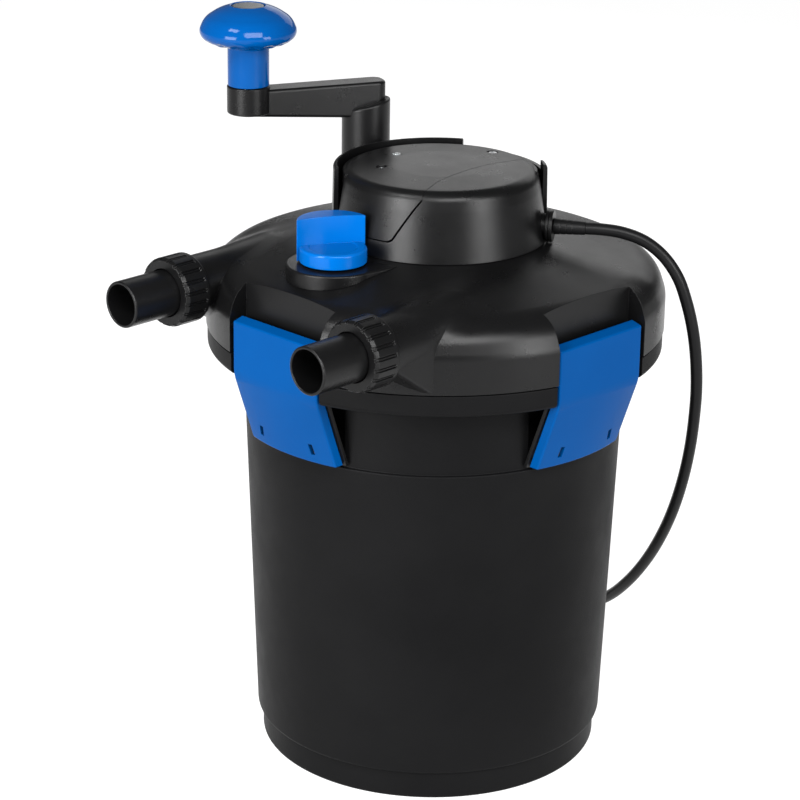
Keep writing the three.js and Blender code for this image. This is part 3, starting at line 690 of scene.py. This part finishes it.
# ---------------------------------------------------------------- lid
LID_OUTSIDE = [(LID_R, LID_Z, 0.8), (LID_R, 403, 20), (184.5, 419, 24), (171, 429.5, 40), (123, 441, 160),
               (92, 446.5, 100), (LID_EYE_R - 5, 449)]
LID_EDGE = rounded(LID_OUTSIDE, steps=10)


def above_lid(x, y, z):
    """Distance of a point from the lid's outside, below zero within the lid."""
    place = Vector((math.hypot(x, y), z))
    nearest = None
    for start, end in zip(LID_EDGE, LID_EDGE[1:]):
        start = Vector(start)
        along = Vector(end) - start
        share = min(1, max(0, (place - start).dot(along) / along.length_squared))
        gap = place - start - along * share
        if nearest is None or gap.length < nearest[0]:
            nearest = (gap.length, gap.x * along.y - gap.y * along.x)
    return math.copysign(nearest[0], nearest[1])


def swell(gap, height, y):
    """How far a surface moves out so that the dome and a pipe run together where they meet."""
    reach = max(0, FILLET - abs(gap)) ** 2 / (4 * FILLET)
    on_top = min(1, max(0, (height - FILLET_FROM_Z) / FILLET_RISE))
    begun = min(1, max(0, (-y - 50) / 40))
    return reach * on_top * begun


def swollen_dome(point):
    x, y, z = point
    radius = math.hypot(x, y)
    gap = math.hypot(abs(x) - PORTS["outlet"], z - PORT_Z) - PIPE_R
    if y > -50 or radius < LID_EYE_R or z < FILLET_FROM_Z:
        return point
    out = swell(gap, z, y)
    return (x + 0.24 * out * x / radius, y + 0.24 * out * y / radius, z + 0.97 * out)


def swollen_pipe(port_x):
    """The same for a pipe that is drawn along +Z."""
    def shape(point):
        x, y, z = point
        out = swell(above_lid(port_x + x, -z, PORT_Z + y), PORT_Z + y, -z)
        return (x * (1 + out / PIPE_R), y * (1 + out / PIPE_R), z)
    return shape


def along_port(piece, x):
    return moved(piece, shift(x, 0, PORT_Z) @ Matrix.Rotation(math.pi / 2, 4, "X"))


def web_under(port_x):
    """The web between a pipe and the lid's wall."""
    sections = []
    for y, half, low in GUSSET:
        belly = arc(half, math.pi, 2 * math.pi, 16, 0, low + half * WEB_BELLY)
        under = [(port_x + x, y, low + (z - low) * WEB_BELLY / (1 + WEB_BELLY)) for x, z in belly]
        sections.append(under + [(port_x + half, y, PORT_Z), (port_x - half, y, PORT_Z)])
    return loft(sections)


def lid_surface():
    """A cutter as high as the lid, for what stands on it."""
    return lathe(rounded([(0, LID_Z), (LID_R, LID_Z), (LID_R, 403.3), (171, 429.8), (123, 441.3),
                          (92, 446.8), (LID_EYE_R - 5, 449.3), (0, 449.3)]), ROUND)


def make_lid():
    top = dense(rounded([(0, LID_Z)] + LID_OUTSIDE + [(0, 449)], steps=10), 3.2)
    outside = lathe(top, 2 * FINE, swollen_dome)
    hollow = lathe(rounded([(0, LID_Z - 1), (150, LID_Z - 1), (150, 379), (183, 382, 6), (184, 400, 16),
                            (178, 415, 20), (157, 427, 40), (121, 436, 100), (90, 441.5), (0, 444)]), FINE)
    behind = box((NOTCH_BACK - WALL, -58, LID_Z), (LID_R + 5, 58, 440))
    blocks = [common(block, twin(outside)) for block in on_each_side(behind)]
    shell = cut(outside, twin(hollow))
    boss = moved(disc(23, 412, 446.5), shift(CRANK_X, CRANK_Y))
    tube = [(0, PIPE_FROM)] + dense([(PIPE_R, PIPE_FROM), (PIPE_R, PIPE_TO)], 2.5) + [(0, PIPE_TO)]
    pipes = [along_port(lathe(tube, ROUND, swollen_pipe(x)), x) for x in PORTS.values()]
    webs = [cut(web_under(x), twin(hollow)) for x in PORTS.values()]
    bpy.data.objects.remove(hollow)
    lid = join(shell, *blocks, boss, *pipes, *webs)
    notch = box((NOTCH_BACK, -NOTCH_HALF_W, LID_Z - 1), (FAR, NOTCH_HALF_W, FAR))
    bores = [along_port(disc(BORE_R, PIPE_FROM + 40, PIPE_TO + 5), x) for x in PORTS.values()]
    eye = disc(LID_EYE_R, LID_Z, FAR)
    bush_bore = moved(disc(BUSH_R + GAP, 400, 500, SMALL), shift(CRANK_X, CRANK_Y))
    spindle_bore = moved(disc(SPINDLE_R + GAP, 400, 500, SMALL), shift(0, VALVE_Y))
    cut(lid, *on_each_side(notch), *bores, eye, bush_bore, spindle_bore)
    show(lid, "lid_shell", "black_plastic", "root", "lid", sharp=28)


# ---------------------------------------------------------------- hose ports
def make_hose_tail(side, x):
    start = PIPE_TO + GAP
    step = start + TAIL_COLLAR_T
    profile = rounded([(TAIL_BORE_R, start), (TAIL_COLLAR_R, start, 0.6), (TAIL_COLLAR_R, step, 0.8),
                       (TAIL_R, step, 1.2), (TAIL_R, TAIL_TO, 1.1), (TAIL_BORE_R, TAIL_TO, 0.7)],
                      closed=True)
    tail = along_port(lathe(profile), x)
    show(tail, f"tail_{side}", "black_plastic", "root", f"hose_tail_{side}")


def make_union_nut(side, x):
    """A round nut whose wide ribs stand between pairs of narrow grooves."""
    profile = rounded([(NUT_LIP_R, NUT_TO, 0.6), (NUT_LIP_R, NUT_TO - NUT_LIP),
                       (NUT_SEAT_R, NUT_TO - NUT_LIP), (NUT_SEAT_R, NUT_FROM, 0.5),
                       (NUT_R, NUT_FROM, 1.3), (NUT_R, NUT_FROM + NUT_RIM),
                       (NUT_R, NUT_FROM + NUT_RIM + 0.9), (NUT_R, NUT_TO - 3, 1.5),
                       (NUT_R - 1.4, NUT_TO, 1)], closed=True)
    pitch = 2 * math.pi / NUT_RIBS
    # Along one rib and its pair of grooves: place in the pitch, share of the groove's depth
    marks = [(-0.3, 0), (0, 0), (0.3, 0), (0.34, 1), (0.42, 1), (0.46, 0.3), (0.54, 0.3), (0.58, 1),
             (0.66, 1)]
    rings = []
    for radius, height in profile:
        ribbed = height > NUT_FROM + NUT_RIM + 0.4 and radius > NUT_SEAT_R + 1
        points = []
        for rib in range(NUT_RIBS):
            for place, depth in marks:
                angle = (rib + place) * pitch
                reach = radius - NUT_GROOVE * depth * ribbed
                points.append((reach * math.cos(angle), reach * math.sin(angle), height))
        rings.append(points)
    nut = along_port(closed_skin(rings), x)
    show(nut, f"nut_{side}", "black_plastic", f"nut_{side}", f"union_nut_{side}", sharp=24)


# ---------------------------------------------------------------- lamp head
def cover_region(inset):
    """The part of the head that its cover takes up: all that is left of a curved, slanted joint."""
    edge = rounded([(60, -120), (55, -90), (46, -62, 60), (37, -38, 60), (31.5, 5, 90), (31.5, 38, 60),
                    (38, 120)], steps=10)
    plan = prism([(-120, 120), (-120, -120)] + [(x - inset, y) for x, y in edge], COVER_Z + inset, 520)
    low = COVER_Z + 3 * inset
    back = 4 * inset
    outline = rounded([(-120, low), (29 - back, low, 7), (53 - back, 506), (58 - back, 521), (-120, 521)],
                      steps=8)
    return common(plan, wall(outline, -130, 130))


def drum():
    """The whole head, hollow, with its rear set back inside the collar."""
    behind = (COLLAR_FROM - 0.08, COLLAR_TO + 0.08)
    outside = lathe(dense(rounded([(0, HEAD_Z)] + HEAD_PROFILE, steps=10), 4), 2 * ROUND)
    rear = sector(HEAD_REAR_R, 120, *behind, HEAD_Z - 1, 520)
    set_back = lathe(rounded([(0, HEAD_Z), (HEAD_REAR_R, HEAD_Z), (HEAD_REAR_R, 501, 1.8), (69, 503.2, 30),
                              (40, 505.4), (0, 505.9)]), 2 * ROUND)
    brim = common(set_back, sector(66, 90, *behind, HEAD_Z, 520))
    hollow = lathe(rounded([(0, HEAD_FLOOR_Z), (74, HEAD_FLOOR_Z), (73, 488, 12), (64, 498, 12),
                            (0, 500)]), ROUND)
    for piece in (outside, rear, brim, hollow):
        moved(piece, shift(HEAD_X))
    return cut(join(cut(outside, rear), brim), hollow)


def out_of_head(piece):
    return moved(piece, shift(HEAD_X, 0, GLAND_Z) @ Matrix.Rotation(GLAND_ANGLE, 4, "Z")
                 @ Matrix.Rotation(math.pi / 2, 4, "Y"))


def make_head():
    eye = disc(SPIGOT_BORE_R, SPIGOT_Z, HEAD_FLOOR_Z + 1)
    base = cut(drum(), cover_region(0), lid_surface(), eye)
    spigot = ring(SPIGOT_BORE_R, SPIGOT_R, SPIGOT_Z, HEAD_FLOOR_Z)
    pillars = [moved(disc(6, HEAD_FLOOR_Z - 1, 493.5, SMALL), shift(x, y)) for x, y in SCREWS.values()]
    join(base, spigot, *pillars)
    cut(base, out_of_head(disc(10 + GAP, 60, 110, SMALL)))
    show(base, "head_lower_shell", "black_plastic", "root", "head_base", sharp=28)
    holes = [moved(disc(3.9, 480, 520, SMALL), shift(*LENS))]
    for x, y in SCREWS.values():
        holes.append(moved(disc(2 + GAP, 490, 520, SMALL), shift(x, y)))
        holes.append(moved(disc(4.7, 502, 520, SMALL), shift(x, y)))
    cover = cut(eased(common(drum(), cover_region(GAP)), 0.45, 2, 50), *holes)
    show(cover, "head_upper_shell", "black_plastic", "root", "head_cover", sharp=28)


def make_collar():
    fence = sector(COLLAR_INNER_R, COLLAR_R, COLLAR_FROM, COLLAR_TO, HEAD_Z + GAP, COLLAR_TOP_Z, 96)
    taper = lathe(rounded([(0, HEAD_Z), (COLLAR_R, HEAD_Z), (COLLAR_R - 1, COLLAR_TOP_Z, 3),
                           (0, COLLAR_TOP_Z)]), 2 * ROUND)
    lower = sector(70, 120, *COLLAR_CUT, COLLAR_LOW_Z, 520)
    collar = moved(cut(common(fence, taper), lower), shift(HEAD_X))
    show(eased(collar, 0.8, 3, 50), "collar_wall", "black_plastic", "root", "head_collar")


def make_cover_screw(side, x, y):
    head = lathe(rounded([(0, 476), (1.8, 476), (1.8, 501.3), (4, 501.3), (4, 503.6, 1.2), (0, 504.2)]),
                 SMALL)
    slots = [turned(box((-2.6, -0.5, 502.8), (2.6, 0.5, 506)), angle)
             for angle in (0.5, 0.5 + math.pi / 2)]
    screw = moved(cut(head, *slots), shift(x, y))
    show(screw, f"screw_{side}", "steel", "root", f"cover_screw_{side}")


def make_lens():
    lens = moved(lathe(rounded([(0, 492), (3.5, 492), (3.5, 506.2, 1.4), (0, 507)]), SMALL), shift(*LENS))
    show(lens, "status_lens", "clear_glass", "root", "indicator_lens")


# ---------------------------------------------------------------- flow valve
def make_valve_plate():
    outline = arc(PLATE_R, math.pi, 2 * math.pi, 48, 0, VALVE_Y) + [(43, -84), (-43, -84)]
    plate = prism(outline, 420, PLATE_TOP_Z)
    foot = moved(disc(HEAD_R + GAP, 400, 500, 2 * ROUND), shift(HEAD_X))
    bore = moved(disc(SPINDLE_R + 4, 400, 500, SMALL), shift(0, VALVE_Y))
    plate = cut(eased(plate, 1.6, 4, 50), lid_surface(), foot, bore)
    show(plate, "valve_base", "black_plastic", "root", "valve_plate")


def make_flow_knob():
    base = lathe(rounded([(0, KNOB_Z), (KNOB_DISC_R, KNOB_Z, 0.8), (KNOB_DISC_R, KNOB_DISC_TOP, 2.2),
                          (20, KNOB_DISC_TOP, 1), (18.6, KNOB_DISC_TOP - 0.8, 1),
                          (0, KNOB_DISC_TOP - 0.8)]))
    corner = math.asin(KNOB_FLAT_BACK / KNOB_GRIP_R)
    half_moon = arc(KNOB_GRIP_R, KNOB_FLAT + corner, KNOB_FLAT + math.pi - corner, 60)
    across = KNOB_GRIP_R * math.cos(corner)
    scoop = math.asin(across / KNOB_SCOOP_R)
    facing = KNOB_FLAT - math.pi / 2
    away = KNOB_SCOOP_R * math.cos(scoop) - KNOB_FLAT_BACK
    face = arc(KNOB_SCOOP_R, facing + math.pi + scoop, facing + math.pi - scoop, 24,
               away * math.cos(facing), away * math.sin(facing))
    outline = rounded([(*half_moon[0], 2)] + half_moon[1:-1] + [(*half_moon[-1], 2)] + face[1:-1],
                      closed=True)
    grip = eased(prism(outline, KNOB_Z, KNOB_TOP), 1.7, 5, 50)
    knob = join(base, grip)
    bore = disc(SPINDLE_R + GAP, 400, SPINDLE_TOP + GAP, SMALL)
    knob = moved(cut(knob, bore), shift(0, VALVE_Y))
    show(knob, "flow_handle", "blue_plastic", "flow_valve", "flow_knob")


# ---------------------------------------------------------------- clamps, drawn for the one at +X
def clamp_block(inset, half_width, low):
    """A block behind the clamp's outer surface, moved in by inset, with a soft bend at its kink."""
    back = 140
    face = CLAMP_FACE - inset
    top = CLAMP_TOP_Z - inset
    stations = 32
    rings = []
    for station in range(stations + 1):
        y = -half_width + 2 * half_width * station / stations
        bottom = math.sqrt(CLAMP_BOTTOM_R ** 2 - y ** 2) - inset
        share = (CLAMP_KINK_Z - low) / (CLAMP_KINK_Z - CLAMP_BOTTOM_Z)
        foot = face + (bottom - face) * share
        front = rounded([(foot, low), (face, CLAMP_KINK_Z, CLAMP_BEND), (face, top)], steps=12)
        outline = [(back, low)] + front + [(back, top + (face - back) * CLAMP_TOP_SLOPE)]
        rings.append([(x, y, z) for x, z in outline])
    return loft(rings)


def along_pin(radius, half_length):
    pin = disc(radius, -half_length, half_length, SMALL)
    return moved(pin, shift(PIN_X, 0, PIN_Z) @ Matrix.Rotation(math.pi / 2, 4, "X"))


def clamp_cover():
    outside = eased(clamp_block(0, COVER_HALF_W, CLAMP_BOTTOM_Z), 1.3, 4, 40)
    inside = clamp_block(COVER_T, COVER_HALF_W - COVER_T, CLAMP_BOTTOM_Z - 5)
    behind = clamp_block(COVER_SIDE, COVER_HALF_W + 5, CLAMP_BOTTOM_Z - 5)
    past_top = box((130, -80, CLAMP_TOP_Z - COVER_SIDE), (CLAMP_FACE - CLAMP_DEPTH, 80, 430))
    slots = [wall_slot(side * SLOT_Y) for side in (-1, 1)]
    return cut(outside, inside, behind, past_top, along_pin(PIN_R + GAP, 80), *slots)


def wall_slot(y):
    """The cutter of a small upright slot that leans a little outwards at its top."""
    slot = box((140, -2.1, -4.6), (200, 2.1, 4.6))
    lean = Matrix.Rotation(math.copysign(SLOT_LEAN, y), 4, "X")
    return moved(slot, shift(0, y, SLOT_Z) @ lean)


def clamp_lever():
    inset = COVER_SIDE + LEVER_GAP
    plate = cut(clamp_block(inset, LEVER_HALF_W, CLAMP_BOTTOM_Z),
                clamp_block(inset + COVER_T, LEVER_HALF_W + 5, CLAMP_BOTTOM_Z - 5),
                box((130, -80, PIN_Z - 10), (210, 80, 430)))
    web = box((PIN_X - 4.2, -BARREL_HALF_W, PIN_Z - 20), (PIN_X - 1.4, BARREL_HALF_W, PIN_Z))
    hook = eased(box((149.5, -40, 344), (171, 40, BAND_Z - 0.6)), 0.8, 2)
    lever = join(plate, web, hook, along_pin(BARREL_R, BARREL_HALF_W))
    return cut(lever, along_pin(PIN_R + GAP, 80))


def make_clamps():
    cover = clamp_cover()
    lever = clamp_lever()
    pin = along_pin(PIN_R, NOTCH_HALF_W + 4)
    for side, turn in CLAMPS.items():
        body = f"clamp_{side}"
        # the covers wear the darker copy of the blue, which is painted shade
        show(turned(twin(cover), turn), f"cover_{side}", "blue_plastic", body, f"clamp_cover_{side}",
             paint="shaded_matte_blue_plastic")
        show(turned(twin(lever), turn), f"lever_{side}", "black_plastic", body, f"clamp_lever_{side}")
        show(turned(twin(pin), turn), f"pin_{side}", "steel", "root", f"clamp_pin_{side}")
    for piece in (cover, lever, pin):
        bpy.data.objects.remove(piece)


# ---------------------------------------------------------------- crank
def on_crank(piece):
    return moved(piece, shift(CRANK_X, CRANK_Y) @ Matrix.Rotation(ARM_ANGLE, 4, "Z"))


def on_grip(piece):
    return on_crank(moved(piece, shift(ARM_LENGTH)))


def make_crank_arm():
    plan = rounded([(ARM_LENGTH, ARM_HALF_W), (-16, ARM_HALF_W, 9), (-16, -ARM_HALF_W, 9),
                    (ARM_LENGTH, -ARM_HALF_W)])
    side = [(-30, 522), (POST_R, 522), (ARM_LENGTH, 529), (ARM_LENGTH, ARM_TOP_Z), (-30, ARM_TOP_Z)]
    bar = eased(common(prism(plan, 515, ARM_TOP_Z + 5), wall(side, -20, 20)), 2.6, 5, 50)
    slope = Vector((0, 0, 1)).rotation_difference(Vector(POST_CUT_NORMAL)).to_matrix().to_4x4()
    past_cut = moved(box((-60, -60, 0), (60, 60, 60)), shift(0, 0, POST_CUT_Z) @ slope)
    post = eased(cut(disc(POST_R, POST_Z, POST_TOP_Z + 2), past_cut), 2.2, 4, 40)
    round_boss = lathe(rounded([(0, BOSS_Z), (BOSS_R, BOSS_Z, 1.4), (BOSS_R, BOSS_TOP_Z, 0.8),
                                (0, BOSS_TOP_Z)]))
    boss = moved(round_boss, shift(ARM_LENGTH))
    bore = disc(SHAFT_R + GAP, POST_Z - 1, 530.5, SMALL)
    pin_bore = moved(disc(GRIP_PIN_R + GAP, BOSS_Z - 1, BOSS_TOP_Z + 1, SMALL), shift(ARM_LENGTH))
    arm = cut(join(bar, post, boss), bore, pin_bore)
    show(on_crank(arm), "crank_handle", "black_plastic", "crank", "crank_arm")


def fluted(point):
    """Scallops the underside of the grip's mushroom."""
    x, y, z = point
    radius = math.hypot(x, y)
    inner = min(1, max(0, (radius - 19) / 4))
    outer = min(1, max(0, (38.5 - radius) / 5))
    below = z < FLUTES_BELOW
    depth = FLUTE_DEPTH * inner * outer * below * (0.5 - 0.5 * math.cos(FLUTES * math.atan2(y, x)))
    return (x, y, z + depth)


def make_crank_knob():
    bore = GRIP_PIN_R + GAP
    low = BOSS_TOP_Z + 0.6
    profile = rounded([(bore, low), (GRIP_STEM_R, low, 0.6), (GRIP_STEM_R, 588, 2.5), (30, 590, 14),
                       (38.3, 594.5, 9), (40.8, 600.5, 9), (36.5, 610.5, 20), (25, 618, 40),
                       (14, 621.7, 1), (13.8, 618.4), (bore, 618.4)], closed=True, steps=12)
    knob = lathe(dense(profile, 1.5), 12 * FLUTES, fluted)
    # the grip wears the darker copy of the blue, which is painted shade
    show(on_grip(knob), "crank_grip_knob", "blue_plastic", "crank_grip", "crank_knob",
         paint="shaded_gloss_blue_plastic")
    cap = lathe(rounded([(0, 618.6), (13.2, 618.6), (13.2, 621, 0.8), (0, 621.8)]))
    show(on_grip(cap), "grip_cap", "grey_plastic", "crank_grip", "knob_cap")


# ---------------------------------------------------------------- mains lead
def make_gland():
    profile = rounded([(CORD_R + 1, 70), (10, 70), (10, GLAND_FLANGE), (13.2, GLAND_FLANGE, 0.7),
                       (13.2, GLAND_FLANGE + 2.2, 0.5), (12.4, GLAND_FLANGE + 2.4),
                       (12.4, GLAND_FLANGE + 2.8), (13.2, GLAND_FLANGE + 3.1, 0.5),
                       (13.2, GLAND_FACE, 0.8), (CORD_R + 1, GLAND_FACE, 0.6)], closed=True)
    show(out_of_head(lathe(profile, SMALL)), "gland_nut", "black_plastic", "root", "cable_gland")


def make_relief():
    start = GLAND_FACE + GAP
    corners = [(0, start), (RELIEF_R, start, 0.6)]
    for rib in range(3):
        place = start + 5 + rib * 5
        reach = RELIEF_R - 1.2 * (place - start) / (RELIEF_END - start)
        corners += [(reach, place, 0.3), (reach - 0.35, place + 0.4, 0.3),
                    (reach - 0.35, place + 0.9, 0.3), (reach - 0.07, place + 1.3, 0.3)]
    corners += [(5.4, RELIEF_END, 0.5), (0, RELIEF_END)]
    relief = out_of_head(lathe(rounded(corners, steps=3), SMALL))
    return show(relief, "relief_sleeve", "cord_rubber", "root", "strain_relief")


def on_coil(radius, angle, height):
    return (COIL_X + radius * math.cos(angle), COIL_Y + radius * math.sin(angle), height)


def eased_share(share):
    return (1 - math.cos(math.pi * min(1, max(0, share)))) / 2


def coil_points():
    """The turns of the coil from its lowest, outermost one to the plug that lies on top."""
    lanes = list(COIL_LANES)
    turns = [(radius, 0) for radius in lanes] + [(radius, 1) for radius in reversed(lanes)]
    turns += [(radius, 2) for radius in lanes]
    start = math.pi / 2
    end = PLUG_ANGLE + 2 * math.pi * len(turns) - 2 * math.pi
    points = []
    total = math.ceil((end - start) / (2 * math.pi) * COIL_STEPS)
    for step in range(total + 1):
        angle = start + (end - start) * step / total
        done = (angle - start) / (2 * math.pi)
        index = min(int(done), len(turns) - 1)
        share = eased_share((done - index - 1 + COIL_CHANGE) / COIL_CHANGE)
        radius, layer = turns[index]
        next_radius, next_layer = turns[min(index + 1, len(turns) - 1)]
        radius += (next_radius - radius) * share
        height = COIL_FLOOR + CORD_R + 2 * CORD_R * (layer + (next_layer - layer) * share)
        rise = eased_share(1 - (end - angle) / COIL_LIFT)
        height += (PLUG_Z - height) * rise
        points.append(on_coil(radius, angle, height))
    return points


def smooth_route(points, steps=8):
    """Centripetal Catmull-Rom points through a list of points, ends included."""
    vectors = [Vector(point) for point in points]
    first = vectors[0] * 2 - vectors[1]
    last = vectors[-1] * 2 - vectors[-2]
    chain = [first] + vectors + [last]
    made = []
    for a, b, c, d in zip(chain, chain[1:], chain[2:], chain[3:]):
        t0 = 0.0
        t1 = t0 + (b - a).length ** 0.5
        t2 = t1 + (c - b).length ** 0.5
        t3 = t2 + (d - c).length ** 0.5
        for step in range(steps):
            t = t1 + (t2 - t1) * step / steps
            ab = a * ((t1 - t) / (t1 - t0)) + b * ((t - t0) / (t1 - t0))
            bc = b * ((t2 - t) / (t2 - t1)) + c * ((t - t1) / (t2 - t1))
            cd = c * ((t3 - t) / (t3 - t2)) + d * ((t - t2) / (t3 - t2))
            abc = ab * ((t2 - t) / (t2 - t0)) + bc * ((t - t0) / (t2 - t0))
            bcd = bc * ((t3 - t) / (t3 - t1)) + cd * ((t - t1) / (t3 - t1))
            made.append(abc * ((t2 - t) / (t2 - t1)) + bcd * ((t - t1) / (t2 - t1)))
    made.append(vectors[-1])
    return made


def make_cord():
    direction = Vector((math.cos(GLAND_ANGLE), math.sin(GLAND_ANGLE), 0))
    exit_point = Vector((HEAD_X, 0, GLAND_Z)) + direction * RELIEF_END
    route = [tuple(exit_point)] + CORD_ROUTE[1:]
    coil = coil_points()
    points = smooth_route(route + coil[:1]) + [Vector(point) for point in coil[1:]]
    curve = bpy.data.curves.new("mains_cord", "CURVE")
    curve.dimensions = "3D"
    curve.bevel_depth = CORD_R * MM
    curve.bevel_resolution = 6
    curve.use_fill_caps = True
    spline = curve.splines.new("POLY")
    spline.points.add(len(points) - 1)
    for target, point in zip(spline.points, points):
        target.co = (*(point * MM), 1)
    spline.use_smooth = True
    cord = bpy.data.objects.new("mains_cord", curve)
    bpy.context.collection.objects.link(cord)
    curve.materials.append(MATERIALS["cord_rubber"])
    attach(cord, "root")
    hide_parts("power_cord", "cord_coil", "plug_lead")
    return cord, exit_point * MM


def lie(piece):
    """Puts a piece drawn along +Z on the coil, along the plug's line."""
    place = on_coil(PLUG_REACH, PLUG_ANGLE, PLUG_Z)
    along = Matrix.Rotation(PLUG_ANGLE, 4, "Z") @ Matrix.Rotation(-math.pi / 2, 4, "X")
    return moved(piece, shift(*place) @ along)


def make_plug():
    corners = [(0, 0.6), (6, 0.6, 0.5)]
    for rib in range(4):
        place = 4 + rib * 4
        reach = 6 + 2.5 * place / 20
        corners += [(reach, place, 0.3), (reach - 0.9, place + 0.4, 0.3), (reach - 0.9, place + 1.8, 0.3),
                    (reach + 0.1, place + 2.2, 0.3)]
    corners += [(8.5, 20, 1), (PLUG_R - 3, 24, 3), (PLUG_R, 31, 4), (PLUG_R, 57, 1.5), (0, 57)]
    body = lie(lathe(rounded(corners, steps=4), SMALL))
    show(body, "plug_body", "black_plastic", "root", "mains_plug")
    pins = []
    for index, y in enumerate((-9.5, 9.5)):
        pin = moved(lathe(rounded([(0, 55), (2.4, 55), (2.4, 78, 1.6), (0, 78)]), SMALL), shift(0, y))
        pins.append(show(lie(pin), f"plug_pin_{index + 1}", "steel", "root"))
    return [body] + pins


def make_lead():
    cord, exit_point = make_cord()
    relief = make_relief()
    plug = make_plug()
    tuple(exit_point)


# ---------------------------------------------------------------- the whole filter
def finish_cad_nodes():
    """Gives each CAD node that still shows the material of its slot."""
    slots = {row["node"]: row["material_slot"] for row in frame["record"]["subparts"]}
    for name, node in frame["nodes"].items():
        node.data.materials.clear()
        node.data.materials.append(MATERIALS[slots[name]])


make_camera()
make_lead()
make_studio()
make_tank()
make_lid()
for port_side, port_x in PORTS.items():
    make_hose_tail(port_side, port_x)
    make_union_nut(port_side, port_x)
make_head()
make_collar()
for screw_side, (screw_x, screw_y) in SCREWS.items():
    make_cover_screw(screw_side, screw_x, screw_y)
make_lens()
make_valve_plate()
make_flow_knob()
make_clamps()
make_crank_arm()
make_crank_knob()
make_gland()
finish_cad_nodes()
